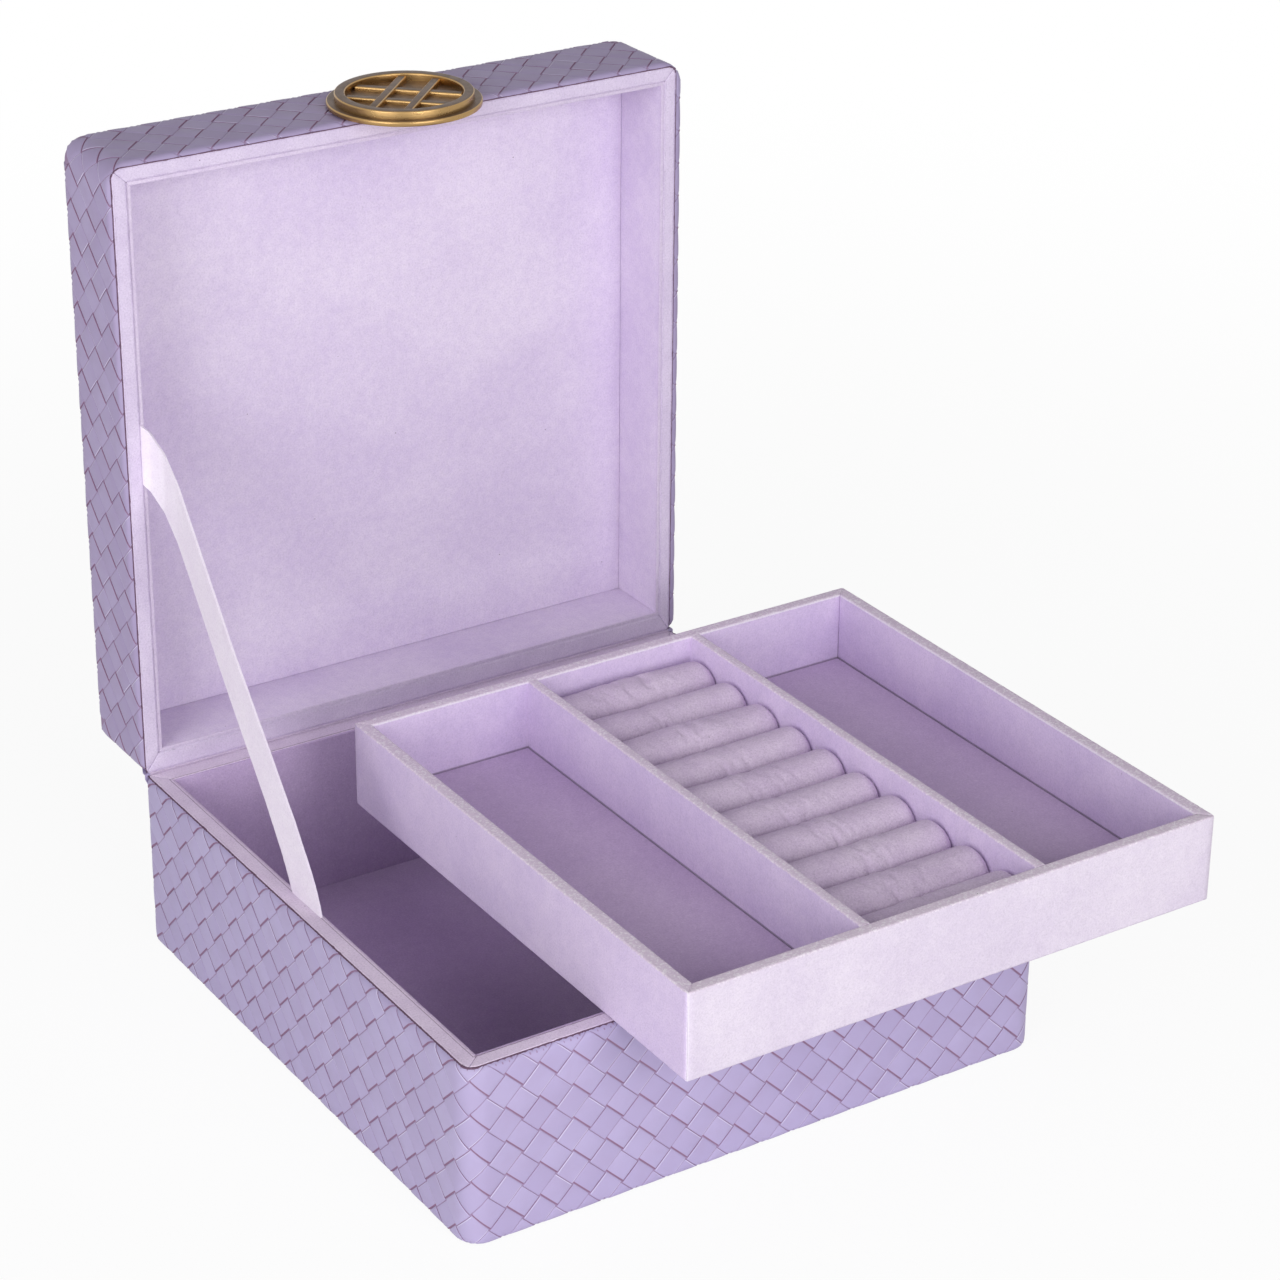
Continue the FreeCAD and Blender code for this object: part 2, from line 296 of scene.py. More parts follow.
def suede(name, pale, deep, seed, cloud=0.055, speckle=0.22, edge=None):
    finish = Finish(name, {
        "Specular IOR Level": 0.10,
        "Sheen Weight": 0.15,
        "Sheen Roughness": 0.45,
        "Sheen Tint": srgb(240, 232, 244),
    })
    spot = place(finish, (seed, seed * 0.7, seed * 0.3))
    clouds = ramp(noise(spot, cloud, 4.0, 0.60), 0.32, 0.68)
    nap = ramp(noise(spot, 3 * mm, 2.0, 0.6), 0.25, 0.75)
    grain = noise(spot, 0.60 * mm, 3.0, 0.75)
    colour = mix(0.62 * clouds + 0.38 * nap, deep, pale)
    if edge is not None:
        colour = edge(finish, colour, noise(spot, 0.8 * mm, 2.0, 0.6))
    shade = tuple(0.50 * level for level in deep[:3]) + (1.0,)
    colour = mix(speckle * ramp(grain, 0.46, 0.70), colour, shade)
    colour = mix(0.9 * speckle * ramp(1 - grain, 0.54, 0.70), colour, nap_tip)
    specks = finish.node("ShaderNodeTexVoronoi", {"feature": "F1"}, {"Vector": spot, "Scale": 85.0})
    colour = mix(0.7 * (1 - ramp(specks, 0.010, 0.022)), colour, dark_speck)
    nap_height = 0.7 * grain + 0.3 * nap
    return finish.surface({
        "Base Color": colour,
        "Roughness": 0.86 + 0.1 * grain,
        "Normal": relief(nap_height, 0.20 * mm, 0.8),
    })


print("suede ready")

# %% [markdown]
# Where the nap is cut or folded it has another tone, and some light and shade on its edges is painted.
# These functions find such places by their distance from the middle and the top of the piece, so the
# tone stays on the edge however the mesh is cut. The nap over the tops of the tray's walls is greyer
# and the seam down the outer corners is pale. The fold along their inner edges gets a pale painted
# highlight, and the joints below and in the inner corners get dark painted shade.

# %% Edges of the suede
tray_low, tray_top = (corner.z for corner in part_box("tray_wall_front"))
tray_centre = (40.5 * mm, -43.2 * mm)
tray_half = 92.35 * mm
tray_inner_half = 88.15 * mm
tray_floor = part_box("tray_pad_left")[1].z
folded_nap = srgb(223, 206, 224)
raised_fibre = srgb(248, 242, 250)
# Colour of the painted highlight on the fold
fold_highlight = srgb(246, 240, 249)
pale_seam = srgb(248, 244, 250)
# Colour of the painted shade in the joints
painted_joint_shade = srgb(100, 76, 106)


def tray_edges(finish, colour, ragged):
    spot = place(finish, (-tray_centre[0], -tray_centre[1], -tray_top))
    beside, ahead = absolute(coordinate(spot, 0)), absolute(coordinate(spot, 1))
    height = coordinate(spot, 2)
    reach, corner = larger(beside, ahead), smaller(beside, ahead)
    inside = 1 - ramp(reach, tray_inner_half + 0.4 * mm, tray_inner_half + 0.8 * mm)
    folded = ramp(height + (ragged - 0.5) * 0.9 * mm, -0.60 * mm, -0.15 * mm)
    colour = mix(0.85 * folded, colour, folded_nap)
    colour = mix(0.6 * folded * ramp(ragged, 0.50, 0.62), colour, raised_fibre)
    # A painted highlight along the fold just inside the top edge of the walls
    off_line = absolute(height + 0.45 * mm + (ragged - 0.5) * 0.4 * mm)
    line = inside * ramp(reach, tray_inner_half - 0.8 * mm, tray_inner_half - 0.4 * mm)
    colour = mix(0.7 * line * (1 - ramp(off_line, 0.10 * mm, 0.35 * mm)), colour, fold_highlight)
    outer_seam = ramp(corner, tray_half - 0.9 * mm, tray_half - 0.4 * mm)
    colour = mix(0.5 * outer_seam, colour, pale_seam)
    # Painted shade at the foot of the walls and down the inner corners, stronger lower down
    above_floor = height + (tray_top - tray_floor)
    foot_shade = 1 - ramp(above_floor, 0.20 * mm, 0.55 * mm)
    inner_corner_shade = ramp(corner, tray_inner_half - 0.40 * mm, tray_inner_half - 0.15 * mm)
    inner_corner_shade = 0.35 * inner_corner_shade * (1 - ramp(height, -16 * mm, -7 * mm))
    joint_shade_mask = inside * larger(foot_shade, inner_corner_shade)
    return mix(0.5 * joint_shade_mask, colour, painted_joint_shade)


# The edge of the lid's lining turns away from the light at the rim
lid_rim_y = 101.0 * mm
turned_suede = srgb(199, 182, 208)


def lid_rim_edge(finish, colour, ragged):
    depth = coordinate(place(finish), 1)
    turned_in = 1 - ramp(depth, lid_rim_y, lid_rim_y + 0.8 * mm)
    return mix(0.4 * turned_in, colour, turned_suede)


# Close to the inner edge of the base's rim bands runs a seam where the lining's edge begins, and the
# shade in it is painted as a dark line
seam_reach = 94.0 * mm
seam_shade = srgb(112, 86, 114)


def band_seam(finish, colour, ragged):
    spot = place(finish)
    reach = larger(absolute(coordinate(spot, 0)), absolute(coordinate(spot, 1)))
    off_seam = absolute(reach - seam_reach + (ragged - 0.5) * 0.2 * mm)
    return mix(0.6 * (1 - ramp(off_seam, 0.06 * mm, 0.24 * mm)), colour, seam_shade)


print("edge tones for the tray, the lid's lining and the base's bands ready")

# %% Suede finishes
lid_suede = suede("lid_suede", srgb(231, 219, 239), srgb(213, 197, 228), 0.11, edge=lid_rim_edge)
# The base's copy of the lining suede is darker and more violet than the lid's: painted shade for the lining
# down in the base
base_suede_shaded = suede("base_suede_shaded", srgb(206, 184, 219), srgb(193, 169, 209), 0.37)
# The tray's walls share one suede in two copies: the greyer one is painted light for the front wall, which
# faces the lamps, and the more violet one stands for the shade on the others
tray_suede = suede("tray_suede", srgb(227, 210, 239), srgb(213, 195, 230), 0.53,
                   cloud=0.03, edge=tray_edges)
tray_suede_lit_front = suede("tray_suede_lit_front", srgb(226, 216, 231), srgb(215, 203, 223), 0.61,
                         cloud=0.03, speckle=0.20, edge=tray_edges)
pad_suede = suede("pad_suede", srgb(208, 187, 219), srgb(196, 173, 210), 0.71)
roll_suede = suede("roll_suede", srgb(219, 202, 225), srgb(205, 185, 214), 0.29,
                   cloud=0.016, speckle=0.32)
base_band_suede = suede("base_band_suede", srgb(232, 216, 237), srgb(219, 201, 226), 0.83,
                        cloud=0.018, speckle=0.32, edge=band_seam)
lid_band_suede = suede("lid_band_suede", srgb(224, 211, 234), srgb(211, 196, 224), 0.47,
                       cloud=0.018, speckle=0.28)
tape_suede = suede("tape_suede", srgb(212, 195, 218), srgb(200, 182, 208), 0.41)
ribbon_suede = suede("ribbon_suede", srgb(242, 233, 246), srgb(234, 222, 240), 0.17,
                     cloud=0.018, speckle=0.16)
print("suede finishes made")

# %% [markdown]
# The covering is a smooth coated cloth, pressed into a basket weave. A bump map could draw the weave,
# but it would be flat where the outline of the box shows it, so each tile is its own little pillow
# in the mesh. The mesh also carries two attributes. The first is near 1 down in the lines between
# tiles, where it gives them their dark colour and painted shade, and below 0 on a painted highlight
# along some edges. The second, tile, is a level for each tile, which shifts its tone a little.

# %% Woven leather
# The colour of the painted edge highlight, and the lines' own colour, which also stands for their shade
painted_glint_edge = srgb(212, 205, 230)
line_and_shadow_colour = srgb(142, 110, 138)


def woven_leather(name, dull, bright, hazy):
    finish = Finish(name, {"Specular IOR Level": 0.12})
    line_shade_and_glint = finish.node("ShaderNodeAttribute", {"attribute_name": "line_shade_and_glint"}, output="Fac")
    tile_level = finish.node("ShaderNodeAttribute", {"attribute_name": "tile"}, output="Fac")
    spot = place(finish)
    haze = noise(spot, 9 * mm, 3.0, 0.6)
    pores = noise(spot, 0.45 * mm, 3.0, 0.6)
    colour = mix(tile_level, dull, bright)
    colour = mix(0.5 * ramp(haze, 0.35, 0.75), colour, hazy)
    # Painted highlight where the attribute is below 0, and the lines' colour with painted shade where it
    # nears 1
    colour = mix(ramp(0 - line_shade_and_glint, 0.05, 0.60), colour, painted_glint_edge)
    colour = mix(ramp(line_shade_and_glint, 0.05, 0.80), colour, line_and_shadow_colour)
    return finish.surface({
        "Base Color": colour,
        "Roughness": 0.40 + 0.10 * haze + 0.25 * ramp(line_shade_and_glint, 0.0, 1.0),
        "Normal": relief(pores, 0.03 * mm, 0.5),
    })


base_leather = woven_leather("base_leather", srgb(176, 164, 201), srgb(183, 172, 208), srgb(175, 161, 196))
# The lid's copy is darker: painted shade, for a covering that is lit less than the base's
lid_leather = woven_leather("lid_leather", srgb(166, 152, 188), srgb(173, 160, 195), srgb(164, 148, 182))

# Where the covering turns in under a rim band, the shade in the crack is painted: a dark finish for a thin
# strip
crack = Finish("painted_rim_shadow", {"Specular IOR Level": 0.1})
crack_grain = noise(place(crack), 1.2 * mm, 2.0, 0.6)
crack_shadow_material = crack.surface({
    "Base Color": mix(crack_grain, srgb(88, 64, 84), srgb(124, 98, 120)),
    "Roughness": 0.8 + 0.1 * crack_grain,
})
print("leather of the base, the lid and the cracks made")

# %% [markdown]
# The medallion is cast and plated in a warm gold, rougher on its flat faces and polished on its edges.
# Its flat faces are also painted browner, a painted reflection of the dimmer light above them. Flat
# faces are the ones that look along Z, so the finish reads the normal.

# %% Gold
gold = Finish("satin_gold", {"Metallic": 1.0})
gold_spot = place(gold)
gold_haze = noise(gold_spot, 3 * mm, 3.0, 0.6)
gold_pits = noise(gold_spot, 0.45 * mm, 2.0, 0.7)
gold_normal = gold.node("ShaderNodeTexCoord", output="Normal")
gold_flat = ramp(coordinate(gold_normal, 2), 0.90, 0.99)
# The darker brown on faces that look up is a painted reflection, with a haze between two browns
gold_up_face_reflection = mix(ramp(gold_haze, 0.35, 0.7), srgb(96, 77, 65), srgb(83, 66, 53))
gold_material = gold.surface({
    "Base Color": mix(gold_flat, srgb(170, 138, 92), gold_up_face_reflection),
    "Roughness": 0.20 + 0.14 * gold_flat + 0.12 * gold_haze + 0.06 * gold_pits,
    "Normal": relief(gold_pits, 0.06 * mm, 0.7),
})
print("gold made")

# %% [markdown]
# The boards inside the walls are a mauve card, and a sheet of felt covers the underside. They hardly
# show, so a fine noise for their fibres is enough.

# %% Board and felt
board = Finish("grey_board", {"Specular IOR Level": 0.2})
board_spot = place(board)
board_fibre = noise(board_spot, 1.2 * mm, 3.0, 0.6)
board_material = board.surface({
    "Base Color": mix(board_fibre, srgb(120, 92, 116), srgb(140, 112, 134)),
    "Roughness": 0.85 + 0.1 * board_fibre,
    "Normal": relief(board_fibre, 0.05 * mm, 0.5),
})

felt = Finish("cover_felt", {"Specular IOR Level": 0.1, "Sheen Weight": 0.2})
felt_spot = place(felt)
felt_fibre = noise(felt_spot, 0.6 * mm, 3.0, 0.7)
felt_cloud = noise(felt_spot, 20 * mm, 3.0, 0.6)
felt_material = felt.surface({
    "Base Color": mix(0.5 * felt_fibre + 0.5 * felt_cloud, srgb(150, 128, 168), srgb(186, 166, 202)),
    "Roughness": 0.9 + 0.08 * felt_fibre,
    "Normal": relief(felt_fibre, 0.2 * mm, 0.8),
})
slot_materials = {
    "leather": base_leather,
    "suede": base_suede_shaded,
    "suede_board": tray_suede,
    "board": board_material,
    "felt": felt_material,
    "gold": gold_material,
}
print("board and felt made, and a finish for each of", len(slot_materials), "slots")

# %% [markdown]
# A few helpers for modelling by hand in code: start from a block of a given size, pick parts of it
# by their place, round edges off, and finish with an applied modifier.

# %% Selecting and starting
def alone(piece):
    bpy.ops.object.select_all(action="DESELECT")
    piece.select_set(True)
    bpy.context.view_layer.objects.active = piece


def start_block(name, low, high):
    bpy.ops.object.select_all(action="DESELECT")
    middle = (Vector(low) + Vector(high)) / 2
    bpy.ops.mesh.primitive_cube_add(size=1, location=middle)
    piece = bpy.context.object
    piece.name = name
    piece.scale = Vector(high) - Vector(low)
    bpy.ops.object.transform_apply(location=True, rotation=True, scale=True)
    return piece


def pick(piece, kind, test):
    bpy.ops.mesh.select_mode(type=kind)
    bpy.ops.mesh.select_all(action="DESELECT")
    edited = bmesh.from_edit_mesh(piece.data)
    parts = {"VERT": edited.verts, "EDGE": edited.edges, "FACE": edited.faces}[kind]
    for part in [part for part in parts if test(part)]:
        part.select_set(True)
    edited.select_flush_mode()
    bmesh.update_edit_mesh(piece.data)


def edit(piece):
    alone(piece)
    bpy.ops.object.mode_set(mode="EDIT")


def leave():
    bpy.ops.object.mode_set(mode="OBJECT")


def near(first, second):
    return abs(first - second) < 1e-6


def along(edge, axis):
    first, last = (vertex.co for vertex in edge.verts)
    others = [other for other in range(3) if other != axis]
    return not near(first[axis], last[axis]) and all(near(first[other], last[other]) for other in others)


print("helpers for selecting and starting ready")

# %% Finishing helpers
def smooth(piece, angle=60):
    alone(piece)
    bpy.ops.object.shade_smooth_by_angle(angle=math.radians(angle))


def uneven(piece, depth, size):
    clouds = bpy.data.textures.new(piece.name + "_nap", "CLOUDS")
    clouds.noise_scale = size
    clouds.noise_depth = 1
    alone(piece)
    displace = piece.modifiers.new("nap", "DISPLACE")
    displace.texture = clouds
    displace.texture_coords = "LOCAL"
    displace.strength = depth
    displace.mid_level = 0.5
    bpy.ops.object.modifier_apply(modifier="nap")


def flat_grid(name, columns, rows, size):
    bpy.ops.object.select_all(action="DESELECT")
    bpy.ops.mesh.primitive_grid_add(x_subdivisions=columns, y_subdivisions=rows, size=size)
    piece = bpy.context.object
    piece.name = name
    return piece


def thicken(piece, thickness):
    alone(piece)
    solidify = piece.modifiers.new("thick", "SOLIDIFY")
    solidify.thickness = thickness
    solidify.offset = 0
    bpy.ops.object.modifier_apply(modifier="thick")


def joined(pieces):
    alone(pieces[0])
    for piece in pieces:
        piece.select_set(True)
    bpy.ops.object.join()
    return pieces[0]


def spots_of(mesh):
    flat = np.zeros(3 * len(mesh.vertices), np.float32)
    mesh.vertices.foreach_get("co", flat)
    return flat.reshape(-1, 3)


def put_spots(mesh, spots):
    mesh.vertices.foreach_set("co", spots.astype(np.float32).ravel())
    mesh.update()


def copy_of(piece, name, turn):
    twin = piece.copy()
    twin.data = piece.data.copy()
    twin.name = name
    twin.data.name = name
    bpy.context.scene.collection.objects.link(twin)
    twin.data.transform(turn)
    return twin


def dress(piece, material, body, slot, *replaced):
    piece.data.materials.clear()
    piece.data.materials.append(material)
    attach(piece, body)
    if replaced:
        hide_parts(*replaced)


print("helpers for finishing ready")

# %% [markdown]
# The base and the lid are two shells of one build-up. A shell is worked out standing on its outer
# face, rim up. The base is then only lifted a little, and the lid is turned up about the hinge.

# %% Shell sizes and places
half_box = 100.0 * mm
corner_radius = 7.0 * mm
hinge_corner = 3.0 * mm
# The sign of Y on the hinge's side, in each shell's own layout
hinge_sides = {"base": 1, "lid": -1}
edge_radius = 1.4 * mm
base_lip = 1.4 * mm
lid_lip = 1.5 * mm
lip_drop = 0.1 * mm
base_height = 58.5 * mm
lid_height = 32.0 * mm
hinge_y = 100.4 * mm
hinge_z = 59.0 * mm
lid_gap = 0.4 * mm
base_lift = 0.3 * mm
base_place = Matrix.Translation((0, 0, base_lift))
lid_place = (
    Matrix.Translation((0, hinge_y, hinge_z))
    @ Matrix.Rotation(math.radians(90), 4, "X")
    @ Matrix.Translation((0, hinge_y, -lid_height - lid_gap / 2))
)
print("lid's outer face at y =", round((lid_place @ Vector((0, 0, 0))).y / mm, 2), "mm")

# %% [markdown]
# One tile of the weave is a piece of flat strip that comes up, passes over its neighbours and dives
# under the next ones at its two ends. It is modelled once: a grid whose rows are moved close to the
# edges, pressed down at the ends, with a skirt extruded from its border. The lines of the weave are
# the long edges of the strips, and their dark is their own colour with painted shade, as is the dark
# on the diving ends and the skirt. An open tile has a wider painted shadow along one edge, which shows
# as a wider line, and a slim tile has a narrower one. A row near some edges carries a painted highlight.

# %% One tile
tile_crown = 0.03 * mm
tile_edge_fall = 0.09 * mm
tile_skirt = 0.35 * mm
dive_shares = (0, 0.74, 0.82, 0.87, 1)
dive_depths = (0, 0.04, 0.14, 0.26, 0.45)
# Painted shade on the diving ends, and on the lines, the open edge and the skirt, over the lines' own colour
dive_painted_shades = (0, 0, 0, 0.62, 0.85)
line_shade, open_edge_painted_shadow, skirt_shade = 0.6, 0.95, 0.9
# The row and reach of the painted highlight along a tile's edges
painted_shine_row, painted_shine_reach = 0.95, 0.8
run_rows = {
    "plain": (-1, -0.87, -0.82, -0.74, 0.74, 0.82, 0.87, 1),
    "fine": (-1, -0.87, -0.82, -0.74, -0.46, -0.15, 0.15, 0.46, 0.74, 0.82, 0.87, 1),
}
side_rows = {
    ("close", "plain"): (-1, -0.95, -0.89, 0.89, 0.95, 1),
    ("close", "fine"): (-1, -0.95, -0.89, -0.45, 0, 0.45, 0.89, 0.95, 1),
    ("open", "plain"): (-1, -0.91, -0.86, 0.89, 0.95, 1),
    ("open", "fine"): (-1, -0.91, -0.86, -0.5, -0.17, 0.17, 0.5, 0.89, 0.95, 1),
    ("slim", "plain"): (-1, -0.955, -0.91, 0.89, 0.95, 1),
    ("slim", "fine"): (-1, -0.955, -0.91, -0.45, 0, 0.45, 0.89, 0.95, 1),
}


def make_tile(kind, grade):
    runs, sides = run_rows[grade], side_rows[kind, grade]
    tile = flat_grid("tile", len(runs) - 1, len(sides) - 1, 2)
    for vertex in tile.data.vertices:
        run = runs[round((vertex.co.x + 1) / 2 * (len(runs) - 1))]
        side = sides[round((vertex.co.y + 1) / 2 * (len(sides) - 1))]
        fall = np.interp(abs(run), dive_shares, dive_depths) * mm + tile_crown * abs(side) ** 4
        vertex.co = (run, side, -fall - (tile_edge_fall if abs(side) == 1 else 0))
    top_count = len(tile.data.vertices)
    edit(tile)
    pick(tile, "EDGE", lambda edge: edge.is_boundary)
    bpy.ops.mesh.extrude_region_move(TRANSFORM_OT_translate={"value": (0, 0, -tile_skirt)})
    leave()
    spots = np.array([vertex.co for vertex in tile.data.vertices]).round(4)
    spots[:, 2] = [vertex.co.z for vertex in tile.data.vertices]
    faces = [tuple(face.vertices) for face in tile.data.polygons]
    run, side = np.abs(spots[:, 0]), spots[:, 1]
    shade = np.interp(run, dive_shares, dive_painted_shades)
    # Painted highlight on one row, and painted shade in the lines, the open edge and the skirt
    painted_shine = (run < painted_shine_reach) & ((side if kind != "close" else np.abs(side)) == painted_shine_row)
    edge = np.where(np.abs(side) == 1, line_shade, 0)
    if kind != "close":
        edge = np.where(side <= sides[1], open_edge_painted_shadow, edge)
    shade = np.where(painted_shine, -1.0, np.maximum(shade, edge))
    shade[top_count:] = skirt_shade
    bpy.data.objects.remove(tile)
    return spots, faces, shade


tiles = {key: make_tile(*key) for key in side_rows}
for key, (spots, faces, shade) in tiles.items():
    print("tile", *key, len(faces), "faces")

# %% [markdown]
# The weave runs at 45 degrees. It is laid out flat first: X runs along a wall and S runs up it,
# from the edge of the outer face over the rounded edge to the rim. A whole number of repeats fits
# each quarter of the way round, so the pattern closes on itself and crosses every corner unbroken.
# The flat layout is then wrapped onto the shell by arc length, so no tile is stretched.

# %% Wrapping the weave
straight_half = half_box - corner_radius
quarter = 2 * straight_half + corner_radius * math.pi / 2
repeats = 18
pitch = quarter / repeats / math.sqrt(2)
tile_length_share, tile_width_share = 1.20, 0.926
tile_half_length = tile_length_share * pitch / 2
tile_half_width = tile_width_share * pitch / 2
edge_run = edge_radius * math.pi / 2
tuck_reach = 2.6 * mm
tuck_flat = 0.7 * mm
tuck_slope = 0.4
quarter_turns = ((1, 0), (0, 1), (-1, 0), (0, -1))


def turned(first, second, number):
    cosine, sine = quarter_turns[number]
    return cosine * first - sine * second, sine * first + cosine * second


def wrap(flat_x, flat_s, lift, rim_level, lip_radius, panel):
    wall_top = rim_level - lip_radius
    lip_start = edge_run + wall_top - edge_radius
    lip_end = lip_start + lip_radius * math.pi / 2
    run = np.minimum(flat_s, lip_end)
    tucked = np.clip(flat_s - lip_end, 0, tuck_reach)
    corner = np.clip(np.abs(flat_x) - straight_half, 0, None)
    if panel:
        run = np.where(corner > 0, np.maximum(run, 0), run)
    foot = np.clip(run / edge_radius, 0, math.pi / 2)
    lip = np.clip((run - lip_start) / lip_radius, 0, math.pi / 2)
    inset = edge_radius * (1 - np.sin(foot)) + lip_radius * (1 - np.cos(lip))
    inset = inset + np.clip(-run, 0, None) + tucked
    level = edge_radius * (1 - np.cos(foot)) + np.clip(run - edge_run, 0, wall_top - edge_radius)
    level = level + lip_radius * np.sin(lip) - tuck_slope * np.clip(tucked - tuck_flat, 0, None)
    tilt = foot - math.pi / 2 + lip
    reach = -inset + lift * np.cos(tilt)
    turn = corner / corner_radius
    radius = np.where(corner > 0, corner_radius + reach, 0)
    across = np.sign(flat_x) * (np.minimum(np.abs(flat_x), straight_half) + radius * np.sin(turn))
    out = np.where(corner > 0, straight_half + radius * np.cos(turn), half_box + reach)
    return np.stack([across, -out, level + lift * np.sin(tilt)], axis=-1)


print("weave: pitch", round(pitch / mm, 2), "mm, tile", round(2 * tile_half_length / mm, 2), "by",
      round(2 * tile_half_width / mm, 2), "mm")

# %% [markdown]
# The lid's outer face is woven too. There the layout starts flat on the face, and a tile that
# reaches over its edge bends down onto the wall. In the four corners, where a flat sheet would have
# to be cut, the tiles are drawn in to the rounded outline.

# %% Wrapping over the lid's face
def wrap_panel(flat_x, flat_s, lift, rim_level, lip_radius):
    panel_half = half_box - edge_radius
    x = flat_x.copy()
    y = -flat_s - panel_half
    corner_x = np.clip(np.abs(x) - straight_half, 0, None)
    corner_y = np.clip(np.abs(y) - straight_half, 0, None)
    away = np.hypot(corner_x, corner_y)
    limit = corner_radius - edge_radius
    pull = np.where((corner_x > 0) & (corner_y > 0) & (away > limit), limit / np.maximum(away, 1e-9), 1)
    x = np.sign(x) * (np.minimum(np.abs(x), straight_half) + corner_x * pull)
    y = np.sign(y) * (np.minimum(np.abs(y), straight_half) + corner_y * pull)
    placed = np.stack([x, y, -lift], axis=-1)
    for side, (first, second) in enumerate(((x, -y), (y, x), (-x, y), (-y, -x))):
        over = second - panel_half
        beyond = (over > 0) & (np.abs(first) <= straight_half)
        wall = wrap(first, over, lift, rim_level, lip_radius, True)
        wall = np.stack([*turned(wall[:, 0], wall[:, 1], side), wall[:, 2]], axis=-1)
        placed = np.where(beyond[:, None], wall, placed)
    return placed


print("weave: the lid's face reaches", round((half_box - edge_radius) / mm, 1), "mm from its middle")

# %% [markdown]
# Tiles alternate as on a chessboard: one strip passes along and the next across. Each tile gets a
# slight lean, a strength for its painted edge highlight, a depth for its lines and a tone of its own
# from a seeded generator, so every run gives the same box. Tiles that bend round an edge have a finer
# grid than the ones on flat ground.

# %% Laying the tiles
tile_reach = 5.4 * mm
tile_lean = 0.05 * mm
bend_margin = 1 * mm
past_rim, past_foot = 0.8, 0.7
painted_glint_range = (-0.3, 0.9)
depth_range = (0.75, 1.0)
rim_fade = 0.5


def lay_tiles(rim_level, lip_radius, panel, seed, thick_lines):
    rng = np.random.default_rng(seed)
    lip_start = edge_run + rim_level - lip_radius - edge_radius
    lip_end = lip_start + lip_radius * math.pi / 2
    bend_low, bend_high = edge_run + bend_margin, lip_start - bend_margin
    panel_half = half_box - edge_radius
    lowest, highest = 0 if panel else -pitch * past_foot, lip_end + pitch * past_rim
    spots, faces, line_shade_and_glint_levels, tile_levels = [], [], [], []
    count = 0
    reach = int(quarter / pitch) + 4
    for i in range(-reach, reach):
        for j in range(-reach, reach):
            centre_x = (i - j) * pitch / math.sqrt(2)
            centre_s = (i + j + 1) * pitch / math.sqrt(2) - panel_half
            on_wall = -quarter / 2 <= centre_x + 1e-9 < quarter / 2 and lowest < centre_s < highest
            on_panel = panel and abs(centre_x) < panel_half and -2 * panel_half < centre_s <= 0
            if not (on_wall or on_panel):
                continue
            flat = (abs(centre_x) < straight_half - tile_reach
                    and bend_low + pitch / 2 < centre_s < bend_high - pitch / 2)
            inner_panel = (on_panel and tile_reach - 2 * panel_half < centre_s < -tile_reach
                           and abs(centre_x) < panel_half - tile_reach)
            grade = "plain" if flat or inner_panel else "fine"
            for side in range(4 if on_wall else 1):
                kind, turn = thick_lines((i + j) % 2 == 0, side)
                local, local_faces, shade = tiles[kind, grade]
                across, up = turned(local[:, 0] * tile_half_length, local[:, 1] * tile_half_width, turn)
                flat_x = centre_x + (across - up) / math.sqrt(2)
                flat_s = centre_s + (across + up) / math.sqrt(2)
                lean = rng.uniform(-1, 1, 2) * tile_lean
                lift = local[:, 2] + lean[0] * local[:, 0] + lean[1] * local[:, 1]
                if on_wall:
                    placed = wrap(flat_x, flat_s, lift, rim_level, lip_radius, panel)
                    placed = np.stack([*turned(placed[:, 0], placed[:, 1], side), placed[:, 2]], axis=-1)
                else:
                    placed = wrap_panel(flat_x, flat_s, lift, rim_level, lip_radius)
                faces.extend(tuple(corner + count for corner in face) for face in local_faces)
                spots.append(placed)
                # How strong a tile's painted edge highlight is, and how deep its lines' colour and painted
                # shade are
                painted_glint = rng.uniform(*painted_glint_range)
                level = np.where(shade < 0, shade * max(0, painted_glint), shade * rng.uniform(*depth_range))
                level = level * (1 - rim_fade * np.clip((flat_s - lip_start) / (lip_end - lip_start), 0, 1))
                line_shade_and_glint_levels.append(level)
                tile_levels.append(np.full(len(local), rng.uniform()))
                count += len(local)
    return np.concatenate(spots), faces, np.concatenate(line_shade_and_glint_levels), np.concatenate(tile_levels)


# The wider lines are painted shadow under the tile edges that face away from the lamps. They slant up
# to the right on the lid and on the base's sides, and the other way on its front
def base_lines(rising, side):
    return ("open" if rising == (side in (1, 3)) else "close"), (0 if rising else 3)


def lid_lines(rising, side):
    return ("slim", 2) if rising else ("close", 3)


print("weave:", repeats, "repeats on each quarter of the way round")

# %% [markdown]
# The real box is not the same all round: its corners at the hinge are sharper than the front ones,
# and the lid's long outer edge there is worn rounder. The finished covering is moved to those
# shapes, because a wall of another radius would break the repeat of the weave.

